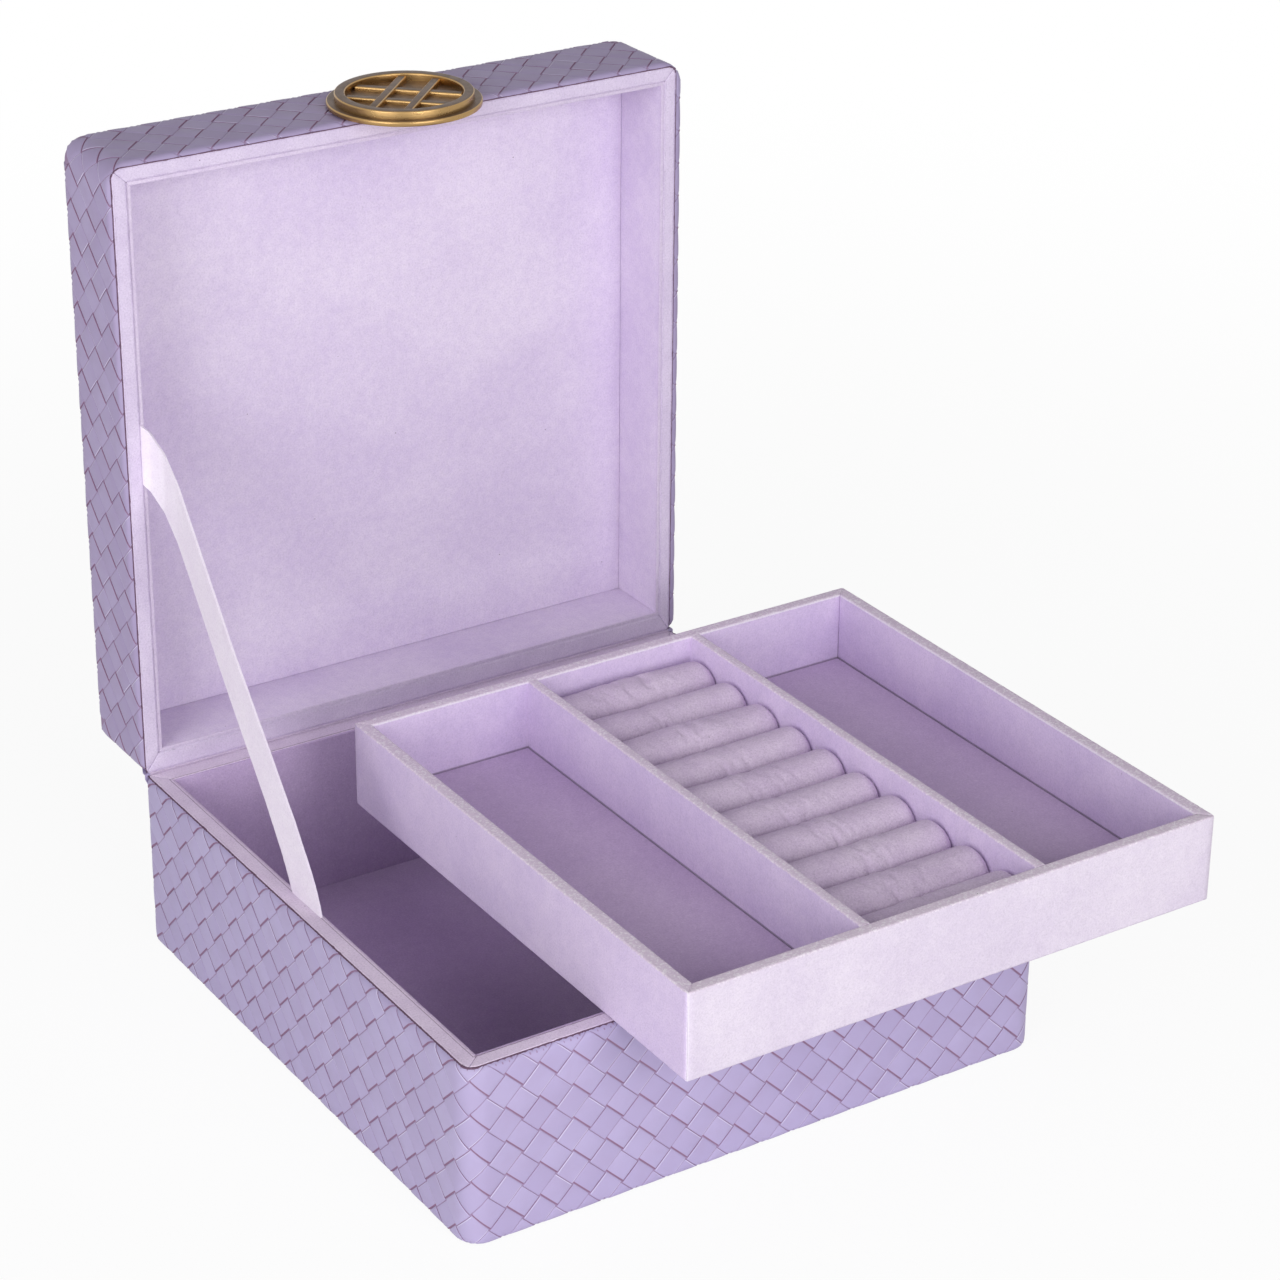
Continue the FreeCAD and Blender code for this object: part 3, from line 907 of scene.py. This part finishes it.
# %% Corners and edge at the hinge
# The two corners on the hinge side are sharper: each is opened out to a square and rounded again
def sharpen_corners(mesh, hinge_side):
    spots = spots_of(mesh)
    past_x = np.abs(spots[:, 0]) - straight_half
    past_y = spots[:, 1] * hinge_side - straight_half
    inside = (past_x > 0) & (past_y > 0)
    past_x, past_y = past_x[inside], past_y[inside]
    away, turn = np.hypot(past_x, past_y), np.arctan2(past_y, past_x) / (math.pi / 4)
    past_x, past_y = away * np.minimum(1, 2 - turn), away * np.minimum(1, turn)
    start = corner_radius - hinge_corner
    over_x, over_y = past_x - start, past_y - start
    deep = np.maximum(over_x, over_y)
    turn = np.minimum(over_x, over_y) / np.maximum(deep, 1e-9) * math.pi / 4
    major, minor = start + deep * np.cos(turn), start + deep * np.sin(turn)
    bent = (over_x > 0) & (over_y > 0)
    new_x = np.where(bent, np.where(over_x > over_y, major, minor), past_x)
    new_y = np.where(bent, np.where(over_x > over_y, minor, major), past_y)
    spots[inside, 0] = np.sign(spots[inside, 0]) * (straight_half + new_x)
    spots[inside, 1] = hinge_side * (straight_half + new_y)
    put_spots(mesh, spots)


# The lid's long outer edge on the hinge side is worn rounder than its other edges
hinge_edge_radius = 3.3 * mm


def round_hinge_edge(mesh):
    spots = spots_of(mesh)
    past_y, past_z = -spots[:, 1] - half_box + hinge_edge_radius, hinge_edge_radius - spots[:, 2]
    near_edge = (past_y > 0) & (past_z > 0)
    past_y, past_z = past_y[near_edge], past_z[near_edge]
    start = hinge_edge_radius - edge_radius
    deep = np.maximum(past_y, past_z)
    turn = np.minimum(past_y, past_z) / deep * math.pi / 4
    turn = np.where(past_y > past_z, turn, math.pi / 2 - turn)
    in_arc = (past_y > start) & (past_z > start)
    deep = np.where(in_arc, start + np.hypot(past_y - start, past_z - start), deep)
    spots[near_edge, 1] = hinge_edge_radius - half_box - deep * np.cos(turn)
    spots[near_edge, 2] = hinge_edge_radius - deep * np.sin(turn)
    put_spots(mesh, spots)


print("corners at the hinge", round(hinge_corner / mm, 1), "mm, lid's edge there",
      round(hinge_edge_radius / mm, 1), "mm round")

# %% [markdown]
# Under the tiles lies the skin, which shows only as the dark line between them. It is a block with
# its four upright edges and then its bottom and top edges bevelled round, hollowed from above.
# Skin and tiles are joined to one piece, because on the real box they are one sheet.

# %% Covering the shells
skin_depth = 0.30 * mm
# The skin between the tiles takes the lines' dark colour, which also stands for their shade
skin_shade = 0.45
skin_tuck = 1.2 * mm
skin_tuck_drop = 0.5 * mm
skin_turn_under = 7.5 * mm


def make_cover(name, height, lip_radius, panel, seed, thick_lines, placing, hinge_side, full_right):
    rim_level = height - lip_drop
    half = half_box - skin_depth
    skin = start_block(name, (-half, -half, skin_depth), (half, half, rim_level - skin_depth))
    edit(skin)
    pick(skin, "EDGE", lambda edge: along(edge, 2))
    bpy.ops.mesh.bevel(offset=corner_radius - skin_depth, segments=10)
    pick(skin, "FACE", lambda face: face.normal.z < -0.9)
    bpy.ops.mesh.region_to_loop()
    bpy.ops.mesh.bevel(offset=edge_radius - skin_depth, segments=8)
    pick(skin, "FACE", lambda face: face.normal.z > 0.9)
    bpy.ops.mesh.region_to_loop()
    bpy.ops.mesh.bevel(offset=lip_radius - skin_depth, segments=5)
    pick(skin, "FACE", lambda face: face.normal.z > 0.99)
    bpy.ops.mesh.inset(thickness=skin_tuck)
    bpy.ops.mesh.extrude_region_move(TRANSFORM_OT_translate={"value": (0, 0, -skin_tuck_drop)})
    bpy.ops.mesh.delete(type="FACE")
    if not panel:
        pick(skin, "FACE", lambda face: face.normal.z < -0.99)
        bpy.ops.mesh.inset(thickness=skin_turn_under)
        bpy.ops.mesh.delete(type="FACE")
    leave()
    spots, faces, line_shade_and_glint_levels, tile_levels = lay_tiles(rim_level, lip_radius, panel, seed, thick_lines)
    weave_mesh = bpy.data.meshes.new(name + "_tiles")
    weave_mesh.from_pydata(spots.tolist(), [], faces)
    weave = bpy.data.objects.new(name + "_tiles", weave_mesh)
    bpy.context.scene.collection.objects.link(weave)
    skin_count = len(skin.data.vertices)
    for label, weave_levels, skin_level in (("line_shade_and_glint", line_shade_and_glint_levels, skin_shade), ("tile", tile_levels, 0)):
        for part, levels in ((weave, weave_levels), (skin, np.full(skin_count, skin_level))):
            layer = part.data.attributes.new(label, "FLOAT", "POINT")
            layer.data.foreach_set("value", levels.astype(np.float32))
    joined([skin, weave])
    sharpen_corners(skin.data, hinge_side)
    if panel:
        round_hinge_edge(skin.data)
    for vertex in skin.data.vertices:
        vertex.co.x += full_right * max(0, vertex.co.x - straight_half) / corner_radius
    skin.data.transform(placing)
    edit(skin)
    bpy.ops.mesh.select_all(action="SELECT")
    bpy.ops.mesh.dissolve_degenerate(threshold=1e-6)
    leave()
    smooth(skin, angle=50)
    return skin


# The covering of the lid bulges a little on its right side
lid_fullness = 0.7 * mm
base_cover = make_cover("base_woven_cover", base_height, base_lip, panel=False, seed=5,
                        thick_lines=base_lines, placing=base_place,
                        hinge_side=hinge_sides["base"], full_right=0)
dress(base_cover, base_leather, "base", "leather", "base_leather")
lid_cover = make_cover("lid_woven_cover", lid_height, lid_lip, panel=True, seed=9,
                       thick_lines=lid_lines, placing=lid_place,
                       hinge_side=hinge_sides["lid"], full_right=lid_fullness)
dress(lid_cover, lid_leather, "lid", "leather", "lid_leather")
for cover in (base_cover, lid_cover):
    print(cover.name, len(cover.data.polygons), "faces")

# %% [markdown]
# A flat suede band lies on each rim, mitred at the corners, and the tray's walls are built the same
# way. One bar is modelled for the front and turned for the other sides. Its edges are bevelled all
# round, so that the mitres show as creases, and its length is cut finely for a slight raggedness of
# the nap along the edges.

# %% Mitred bars
def mitred_bar(name, inner, width, low, high, top_round, mitre_round, cuts, foot_round=0):
    middle = inner + width / 2
    outer = inner + width
    bar = start_block(name, (-middle, -outer, low), (middle, -inner, high))
    edit(bar)
    pick(bar, "VERT", lambda vertex: vertex.co.y < -middle)
    bpy.ops.transform.resize(value=(outer / middle, 1, 1), center_override=(0, 0, 0))
    pick(bar, "VERT", lambda vertex: vertex.co.y > -middle)
    bpy.ops.transform.resize(value=(inner / middle, 1, 1), center_override=(0, 0, 0))
    pick(bar, "EDGE", lambda edge: along(edge, 0) and near(edge.verts[0].co.z, high))
    bpy.ops.mesh.bevel(offset=top_round, segments=4)
    if foot_round:
        pick(bar, "EDGE", lambda edge: along(edge, 0) and near(edge.verts[0].co.z, low)
             and near(edge.verts[0].co.y, -outer))
        bpy.ops.mesh.bevel(offset=foot_round, segments=3)

    def on_mitre(edge):
        return all(near(abs(vertex.co.x), -vertex.co.y) for vertex in edge.verts)

    pick(bar, "EDGE", on_mitre)
    bpy.ops.mesh.bevel(offset=mitre_round, segments=2)
    pick(bar, "EDGE", lambda edge: along(edge, 0) and edge.calc_length() > inner)
    bpy.ops.mesh.subdivide(number_cuts=cuts)
    leave()
    return bar


print("mitred bar ready")

# %% Rings of bars
# The outer corners of a ring of bars are rounded in plan, by a front radius and a hinge side radius
def round_corners(piece, outer, radii, hinge_side):
    for vertex in piece.data.vertices:
        centre = outer - radii[1 if vertex.co.y * hinge_side > 0 else 0]
        past_x, past_y = abs(vertex.co.x) - centre, abs(vertex.co.y) - centre
        if past_x > 0 and past_y > 0:
            deep = max(past_x, past_y)
            turn = min(past_x, past_y) / deep * math.pi / 4
            major, minor = centre + deep * math.cos(turn), centre + deep * math.sin(turn)
            new_x, new_y = (major, minor) if past_x > past_y else (minor, major)
            vertex.co.x = math.copysign(new_x, vertex.co.x)
            vertex.co.y = math.copysign(new_y, vertex.co.y)


# A ring's outer edge is then moved to where it lies on the left, on the right and along the hinge
def move_edges(piece, inner, outer, edges, hinge_side, whole=False):
    for vertex in piece.data.vertices:
        for axis, sign, edge in zip((0, 0, 1), (-1, 1, hinge_side), edges):
            past = vertex.co[axis] * sign - inner
            if past > 0:
                vertex.co[axis] += sign * (edge - outer) * (1 if whole else past / (outer - inner))


side_turns = {"front": 0, "right": 90, "back": 180, "left": 270}


def four_sides(bar, prefix, placing, names, material, body, slot, ragged, shape):
    for side, angle in side_turns.items():
        node = prefix + names.get(side, side)
        piece = copy_of(bar, node + "_soft", Matrix.Rotation(math.radians(angle), 4, "Z"))
        shape(piece)
        piece.data.transform(placing)
        uneven(piece, *ragged)
        smooth(piece)
        dress(piece, material, body, slot, node)
    bpy.data.objects.remove(bar)


print("ring of four bars ready, sides at", *side_turns.values(), "degrees")

# %% [markdown]
# The two rims are not quite even: each band lies a little nearer to one edge of its wall than to the
# other. So a ring of bands is made square first, and then its edges are moved to where they lie.

# %% Rim bands
band_low, band_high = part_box("base_band_front")
band_outer = -band_low.y
band_thickness = band_high.z - band_low.z
band_edge_round = 0.4 * mm
band_mitre_round = 0.35 * mm
band_cuts = 300
band_nap = (0.18 * mm, 0.9 * mm)
band_corners = (3.0 * mm, 1.3 * mm)
band_edges = {
    "base": (98.6 * mm, 98.3 * mm, 100.3 * mm),
    "lid": (98.8 * mm, 98.1 * mm, 100.3 * mm),
}
# On the base's left side the band and the lining's edge look like one, so the band reaches over it
left_overlap = {"base": 0.9 * mm, "lid": 0}
inner_slack = 0.02
lid_names = {"front": "back", "back": "front"}
for prefix, height, placing, names, body, seam, material in (
    ("base_band_", base_height, base_place, {}, "base", -0.45 * mm, base_band_suede),
    ("lid_band_", lid_height, lid_place, lid_names, "lid", -0.10 * mm, lid_band_suede),
):
    band_inner = -band_high.y + seam

    def shape_band(piece):
        round_corners(piece, band_outer, band_corners, hinge_sides[body])
        move_edges(piece, band_inner, band_outer, band_edges[body], hinge_sides[body])
        for vertex in piece.data.vertices:
            past = (-vertex.co.x - band_inner) / (band_edges[body][0] - band_inner)
            if past > -inner_slack:
                vertex.co.x += left_overlap[body] * (1 - max(0, past))

    bar = mitred_bar(prefix + "bar", band_inner, band_outer - band_inner, height - band_thickness, height,
                     band_edge_round, band_mitre_round, band_cuts)
    four_sides(bar, prefix, placing, names, material, body, "suede", band_nap, shape_band)
print("eight rim bands made")

# %% [markdown]
# Between a band and the leather runs a crack, and its shade is painted: a thin dark strip of its own
# along three sides of each rim, made of mitred bars that are joined. Along the hinge the band goes on
# to the fold instead.

# %% Rim cracks
crack_overlap = 0.25 * mm
crack_depth = 0.5 * mm
crack_rise = 0.02 * mm
crack_round = 0.08 * mm
crack_mitre_round = 0.01 * mm
crack_nap = (0.14 * mm, 1.6 * mm)
for name, height, placing, body, crack_width, hinge_angle in (
    ("base_painted_rim_shadow", base_height, base_place, "base", 0.36 * mm, 180),
    ("lid_painted_rim_shadow", lid_height, lid_place, "lid", 0.28 * mm, 0),
):
    inner, outer = band_outer - crack_overlap, band_outer + crack_width
    top = height - lip_drop + crack_rise
    bar = mitred_bar(name, inner, outer - inner, top - crack_depth, top, crack_round, crack_mitre_round,
                     band_cuts)
    sides = [copy_of(bar, name, Matrix.Rotation(math.radians(angle), 4, "Z"))
             for angle in side_turns.values() if angle != hinge_angle]
    bpy.data.objects.remove(bar)
    crack_shadow_ring = joined(sides)
    round_corners(crack_shadow_ring, outer, [radius + crack_width for radius in band_corners], hinge_sides[body])
    edges = [edge + crack_width for edge in band_edges[body]]
    move_edges(crack_shadow_ring, inner, outer, edges, hinge_sides[body], whole=True)
    crack_shadow_ring.data.transform(placing)
    uneven(crack_shadow_ring, *crack_nap)
    smooth(crack_shadow_ring)
    dress(crack_shadow_ring, crack_shadow_material, body, "leather")
    print(name, len(crack_shadow_ring.data.polygons), "faces")

# %% [markdown]
# The linings are card panels wrapped in suede, so their edges are rolled, not sharp. Each panel is
# a block on its CAD node's box with all edges bevelled. The seams in the corners come from that.

# %% Lining panels and pads
def soft_panel(node, rounding, material, body, slot):
    low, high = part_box(node)
    panel = start_block(node + "_soft", low, high)
    edit(panel)
    bpy.ops.mesh.select_all(action="SELECT")
    bpy.ops.mesh.bevel(offset=rounding, segments=4)
    leave()
    smooth(panel)
    dress(panel, material, body, slot, node)


base_lining_round, lid_lining_round = 0.25 * mm, 0.15 * mm
base_pad_round, lid_pad_round, tray_pad_round = 0.4 * mm, 0.35 * mm, 0.25 * mm
for side in side_turns:
    soft_panel("base_lining_" + side, base_lining_round, base_suede_shaded, "base", "suede")
    soft_panel("lid_lining_" + side, lid_lining_round, lid_suede, "lid", "suede")
soft_panel("base_floor_pad", base_pad_round, base_suede_shaded, "base", "suede")
soft_panel("lid_ceiling_pad", lid_pad_round, lid_suede, "lid", "suede")
for side in ("left", "right"):
    soft_panel("tray_pad_" + side, tray_pad_round, pad_suede, "tray", "suede")
print("eight lining panels and four pads made")

# %% [markdown]
# The tray is a box of card walls in suede. Its walls are mitred bars like the bands, with a rounder
# top. The two dividers run from back to front between the walls.

# %% Tray walls
tray_wall = tray_half - tray_inner_half
tray_place = Matrix.Translation((*tray_centre, 0))
tray_top_round = 0.6 * mm
tray_foot_round = 0.7 * mm
tray_mitre_round = 0.25 * mm
tray_corners = (0.9 * mm, 0.9 * mm)
tray_cuts = 200
tray_nap = (0.22 * mm, 0.9 * mm)
divider_nap = (0.2 * mm, 0.9 * mm)


def shape_wall(piece):
    round_corners(piece, tray_half, tray_corners, 1)


bar = mitred_bar("tray_bar", tray_inner_half, tray_wall, tray_low, tray_top, tray_top_round, tray_mitre_round,
                 tray_cuts, tray_foot_round)
four_sides(bar, "tray_wall_", tray_place, {}, tray_suede, "tray", "suede_board", tray_nap, shape_wall)
# The front wall takes the greyer copy, painted light
bpy.data.objects["tray_wall_front_soft"].data.materials[0] = tray_suede_lit_front
for side in ("left", "right"):
    node = "tray_divider_" + side
    low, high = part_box(node)
    divider = start_block(node + "_soft", low, high)
    edit(divider)
    pick(divider, "EDGE", lambda edge: along(edge, 1) and near(edge.verts[0].co.z, high.z))
    bpy.ops.mesh.bevel(offset=tray_top_round, segments=4)
    pick(divider, "EDGE", lambda edge: along(edge, 1))
    bpy.ops.mesh.subdivide(number_cuts=tray_cuts)
    leave()
    uneven(divider, *divider_nap)
    smooth(divider)
    dress(divider, tray_suede, "tray", "suede_board", node)
print("four tray walls and two dividers made")

# %% [markdown]
# Ten stuffed rolls fill the middle of the tray, and rings are pushed between them. A roll starts as
# a block with a round top, its ends drawn in a little. It is remeshed to an even grid and blown up
# as cloth with some spare fabric, held along its foot, which gives the wrinkles of a sewn tube.
# Cloth behaves best at about a metre, so the roll is made twenty times larger for that and back.

# %% Shaping and blowing up a roll
sim_scale = 20
roll_voxel = 0.9 * mm
roll_motion = 0.8 * mm
roll_margin = 0.35 * mm
roll_nap = (0.10 * mm, 2.0 * mm)
roll_cuts = 24
roll_round_share = 0.497
roll_end_share = 0.90
roll_foot = 3 * mm
roll_pressure = 4.0
roll_stiffness = 0.05
cloth_steps = 20


def start_roll(name, low, high):
    inset = Vector((roll_margin, roll_margin, 0))
    low, high = Vector(low) + inset, Vector(high) - inset - Vector((0, 0, roll_margin))
    roll = start_block(name, low, high)
    middle = (low + high) / 2
    edit(roll)
    pick(roll, "EDGE", lambda edge: along(edge, 0) and near(edge.verts[0].co.z, high.z))
    bpy.ops.mesh.bevel(offset=(high.y - low.y) * roll_round_share, segments=14)
    pick(roll, "EDGE", lambda edge: along(edge, 0))
    bpy.ops.mesh.subdivide(number_cuts=roll_cuts)
    for end in (low.x, high.x):
        pick(roll, "VERT", lambda vertex: near(vertex.co.x, end))
        bpy.ops.transform.resize(value=(1, roll_end_share, roll_end_share),
                                 center_override=(end, middle.y, low.z))
    leave()
    return roll


def remeshed(roll, voxel):
    alone(roll)
    remesh = roll.modifiers.new("even", "REMESH")
    remesh.mode = "VOXEL"
    remesh.voxel_size = voxel
    bpy.ops.object.modifier_apply(modifier="even")


def blow_up(roll, low, spare):
    before = np.array([vertex.co for vertex in roll.data.vertices])
    origin = Vector(low)
    roll.data.transform(Matrix.Scale(sim_scale, 4) @ Matrix.Translation(-origin))
    held = roll.vertex_groups.new(name="foot")
    foot = [vertex.index for vertex in roll.data.vertices if vertex.co.z < roll_foot * sim_scale]
    held.add(foot, 1.0, "REPLACE")
    cloth = roll.modifiers.new("stuffing", "CLOTH")
    settings = cloth.settings
    settings.vertex_group_mass = "foot"
    settings.use_pressure = True
    settings.uniform_pressure_force = roll_pressure
    settings.shrink_min = -spare
    settings.bending_stiffness = roll_stiffness
    settings.effector_weights.gravity = 0
    cloth.collision_settings.use_collision = False
    scene = bpy.context.scene
    for step in range(1, cloth_steps + 1):
        scene.frame_set(step)
    alone(roll)
    bpy.ops.object.modifier_apply(modifier="stuffing")
    scene.frame_set(1)
    roll.data.transform(Matrix.Translation(origin) @ Matrix.Scale(1 / sim_scale, 4))
    after = np.array([vertex.co for vertex in roll.data.vertices])
    move = after - before
    distance = np.linalg.norm(move, axis=1, keepdims=True)
    move *= np.minimum(1, roll_motion / np.maximum(distance, 1e-9))
    put_spots(roll.data, before + move)
    roll.vertex_groups.clear()
    return float(distance.max())


print("a roll is held", round(roll_foot / mm, 1), "mm up from its foot")

# %% Ring rolls
# The first and the third roll have more spare fabric, so they wrinkle more
roll_spare = {1: 0.14, 3: 0.13}
usual_spare = 0.05
for number in range(1, 11):
    node = "ring_roll_%02d" % number
    low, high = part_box(node)
    roll = start_roll(node + "_soft", low, high)
    remeshed(roll, roll_voxel)
    uneven(roll, *roll_nap)
    moved = 0.0
    moved = blow_up(roll, low, roll_spare.get(number, usual_spare))
    alone(roll)
    finer = roll.modifiers.new("finer", "SUBSURF")
    finer.levels = finer.render_levels = 1
    bpy.ops.object.modifier_apply(modifier="finer")
    bpy.ops.object.shade_smooth()
    dress(roll, roll_suede, "tray", "suede", node)
    print(node, len(roll.data.polygons), "faces, cloth moved", round(moved / mm, 2), "mm")

# %% [markdown]
# A flat suede ribbon keeps the lid from falling back. Its ends come out of the seam between band
# and lining, pass over the lining's edge and stand a little off the wall. It is a grid laid along
# that line, with its ends cut along the two seams, and a Solidify modifier gives it thickness.

# %% Ribbon stay
ribbon_width = 13.0 * mm
ribbon_thickness = 0.7 * mm
ribbon_tuck = 1.2 * mm
ribbon_nap = (0.12 * mm, 0.8 * mm)
lid_seam = Vector((0, hinge_y + 0.4 * mm, hinge_z + 108.0 * mm))
base_seam = Vector((0, 2.2 * mm, hinge_z - 0.5 * mm))
seam_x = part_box("base_lining_left")[0].x - 0.1 * mm
ribbon_run = (base_seam - lid_seam).normalized()
ribbon_across = ribbon_run.cross(Vector((1, 0, 0)))
ribbon = flat_grid("ribbon_stay_suede", 150, 12, 1)
# How far the ribbon stands off its seam, in millimetres, by the distance from the lid and from the base
off_lid = ((-9, 0, 0.7, 2, 7, 14, 28, 50, 70), (0, 0, 0.5, 1.7, 3.6, 4.2, 3.6, 2.6, 2.4))
off_base = ((-9, 0, 3, 10, 22, 40), (0, 0.1, 0.6, 1.4, 2.1, 2.4))
free_lift = 2.4
ribbon_twist = 0.5
for vertex in ribbon.data.vertices:
    wide = vertex.co.y * ribbon_width
    side = ribbon_across * wide
    start = (ribbon_tuck - side.y) / ribbon_run.y
    stop = (base_seam.z - ribbon_tuck - lid_seam.z - side.z) / ribbon_run.z
    spot = lid_seam + side + ribbon_run * (start + (vertex.co.x + 0.5) * (stop - start))
    lift_lid = np.interp((lid_seam.y - spot.y) / mm, *off_lid)
    lift_base = np.interp((spot.z - base_seam.z) / mm, *off_base)
    twist = ribbon_twist * (vertex.co.y + 0.5)
    spot.x = seam_x + (lift_lid + lift_base - free_lift + twist * min(1, lift_lid, lift_base)) * mm
    vertex.co = spot
thicken(ribbon, ribbon_thickness)
uneven(ribbon, *ribbon_nap)
smooth(ribbon)
ribbon.data.materials.append(ribbon_suede)
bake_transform(ribbon)
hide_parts("ribbon_stay")

# %% [markdown]
# The hinge is a strip of the covering, glued to the backs of the base and the lid and free to fold on
# the line between them. Its mesh has many rows round the fold. Its rows are measured from the hinge
# axis in millimetres, and it tapers to the fold at its two ends.

# %% Hinge strip
strip_half = 99.4 * mm
strip_taper = 4.0 * mm
strip_end_share = 0.15
strip_thickness = 0.4 * mm
strip_fold = 1.0
fold_centre = 1.1
fold_angles = [math.radians(180 - 90 * step / 12) for step in range(13)]


def fold_rows(radius):
    return [(fold_centre + radius * math.cos(angle), radius * math.sin(angle) - fold_centre)
            for angle in fold_angles]


def lay_rows(piece, rows, half_length, end_share):
    for vertex in piece.data.vertices:
        back, up = rows[round((vertex.co.y + 1) / 2 * (len(rows) - 1))]
        beside = vertex.co.x * half_length
        share = np.interp(abs(beside), (half_length - strip_taper, half_length), (1, end_share)) * mm
        vertex.co = (beside, hinge_y + back * share, hinge_z + up * share)


strip_line = ([(0.1, -11.1), (0.1, -7.8), (0.1, -3.8)] + fold_rows(strip_fold)
              + [(3.8, -0.1), (7.8, -0.1), (11.1, -0.1)])
strip = flat_grid("hinge_strip_leather", 200, len(strip_line) - 1, 2)
lay_rows(strip, strip_line, strip_half, strip_end_share)
thicken(strip, strip_thickness)
smooth(strip, angle=50)
strip.data.materials.append(base_leather)
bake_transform(strip)
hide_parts("hinge_strip")
print("hinge strip", len(strip.data.polygons), "faces")

# %% [markdown]
# Inside, a suede tape covers the line between base and lid. Its two wings are glued under the rim
# bands, and it folds between them, so neither leather edge shows along the hinge.

# %% Hinge tape
tape_half = 98.0 * mm
tape_thickness = 0.3 * mm
tape_fold = 1.3
tape_nap = (0.08 * mm, 0.9 * mm)
tape_line = ([(-5.4, -1.1), (-2.8, -1.1), (-1.0, -1.1)] + fold_rows(tape_fold)
             + [(1.1, 1.0), (1.1, 2.8), (1.1, 5.4)])
tape = flat_grid("hinge_tape_suede", 150, len(tape_line) - 1, 2)
lay_rows(tape, tape_line, tape_half, end_share=1)
thicken(tape, tape_thickness)
uneven(tape, *tape_nap)
smooth(tape)
tape.data.materials.append(tape_suede)
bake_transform(tape)

# %% [markdown]
# The medallion is a gold disc with a raised ring and a woven lattice inside the ring. With the lid
# open its axis points straight up. Every edge is bevelled, because it is the edges that shine.

# %% Medallion plate
def start_disc(name, radius, low, high):
    bpy.ops.object.select_all(action="DESELECT")
    bpy.ops.mesh.primitive_cylinder_add(vertices=128, radius=radius, depth=high - low,
                                        location=(medallion_x, medallion_y, (low + high) / 2))
    disc = bpy.context.object
    disc.name = name
    bpy.ops.object.transform_apply(location=True, rotation=True, scale=True)
    return disc


def level(edge, height):
    return all(near(vertex.co.z, height) for vertex in edge.verts)


medallion_x, medallion_y = 2.5 * mm, 106.4 * mm
plate_radius = 24 * mm
plate_edge, plate_foot_edge, plate_border = 0.5 * mm, 0.25 * mm, 1.0 * mm
plate_low, plate_high = (corner.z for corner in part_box("medallion_plate"))
plate = start_disc("medallion_plate_gold", plate_radius, plate_low, plate_high)
edit(plate)
pick(plate, "EDGE", lambda edge: level(edge, plate_high))
bpy.ops.mesh.bevel(offset=plate_edge, segments=4)
pick(plate, "EDGE", lambda edge: level(edge, plate_low))
bpy.ops.mesh.bevel(offset=plate_foot_edge, segments=2)
pick(plate, "FACE", lambda face: face.normal.z > 0.99)
bpy.ops.mesh.inset(thickness=plate_border)
leave()
smooth(plate, angle=40)
dress(plate, gold_material, "lid", "gold", "medallion_plate")
print("medallion plate", round(2 * plate_radius / mm, 1), "mm across")

# %% Medallion ring
ring_radius, ring_width = 21.5 * mm, 3.4 * mm
ring_edge = 0.45 * mm
ring_low, ring_high = (corner.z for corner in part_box("medallion_ring"))
ring = start_disc("medallion_ring_gold", ring_radius, ring_low, ring_high)
edit(ring)
pick(ring, "FACE", lambda face: abs(face.normal.z) > 0.99)
bpy.ops.mesh.inset(thickness=ring_width)
bpy.ops.mesh.delete(type="FACE")
pick(ring, "EDGE", lambda edge: edge.is_boundary)
bpy.ops.mesh.bridge_edge_loops()
pick(ring, "EDGE", lambda edge: level(edge, ring_high) and len(edge.link_faces) == 2
     and any(abs(face.normal.z) < 0.5 for face in edge.link_faces))
bpy.ops.mesh.bevel(offset=ring_edge, segments=4)
bpy.ops.mesh.select_all(action="SELECT")
bpy.ops.mesh.normals_make_consistent(inside=False)
leave()
smooth(ring, angle=40)
dress(ring, gold_material, "lid", "gold", "medallion_ring")
print("medallion ring", round(2 * ring_radius / mm, 1), "mm across")

# %% Medallion lattice
lattice_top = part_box("medallion_lattice")[1].z
lattice_overlap = 0.2 * mm
lattice_reach = ring_radius - ring_width + lattice_overlap
lattice_half = 1.4 * mm
lattice_offset = 5.5 * mm
lattice_step = 0.5 * mm
lattice_sink = 0.05 * mm
bars = []
for turn, top in ((45, lattice_top), (-45, lattice_top - lattice_step)):
    for offset in (-lattice_offset, lattice_offset):
        reach = math.sqrt(lattice_reach ** 2 - (abs(offset) + lattice_half) ** 2)
        bar = start_block("lattice_bar", (-reach, offset - lattice_half, ring_low - lattice_sink),
                          (reach, offset + lattice_half, top))
        edit(bar)
        pick(bar, "EDGE", lambda edge: level(edge, top))
        bpy.ops.mesh.bevel(offset=ring_edge, segments=4)
        leave()
        bar.data.transform(Matrix.Translation((medallion_x, medallion_y, 0))
                           @ Matrix.Rotation(math.radians(turn), 4, "Z"))
        bars.append(bar)
lattice = joined(bars)
lattice.name = "medallion_lattice_gold"
smooth(lattice, angle=40)
dress(lattice, gold_material, "lid", "gold", "medallion_lattice")
print("medallion lattice of", len(bars), "bars")

# %% [markdown]
# The CAD nodes that stay visible, such as the boards inside the walls, get the same finishes.

# %% Finishes on the CAD nodes
for row in frame["record"]["subparts"]:
    materials = nodes[row["node"]].data.materials
    materials.clear()
    materials.append(slot_materials[row["material_slot"]])

# %% Measure and finish
low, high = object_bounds()
print("visual box in mm:", [round(side / mm, 1) for side in high - low])
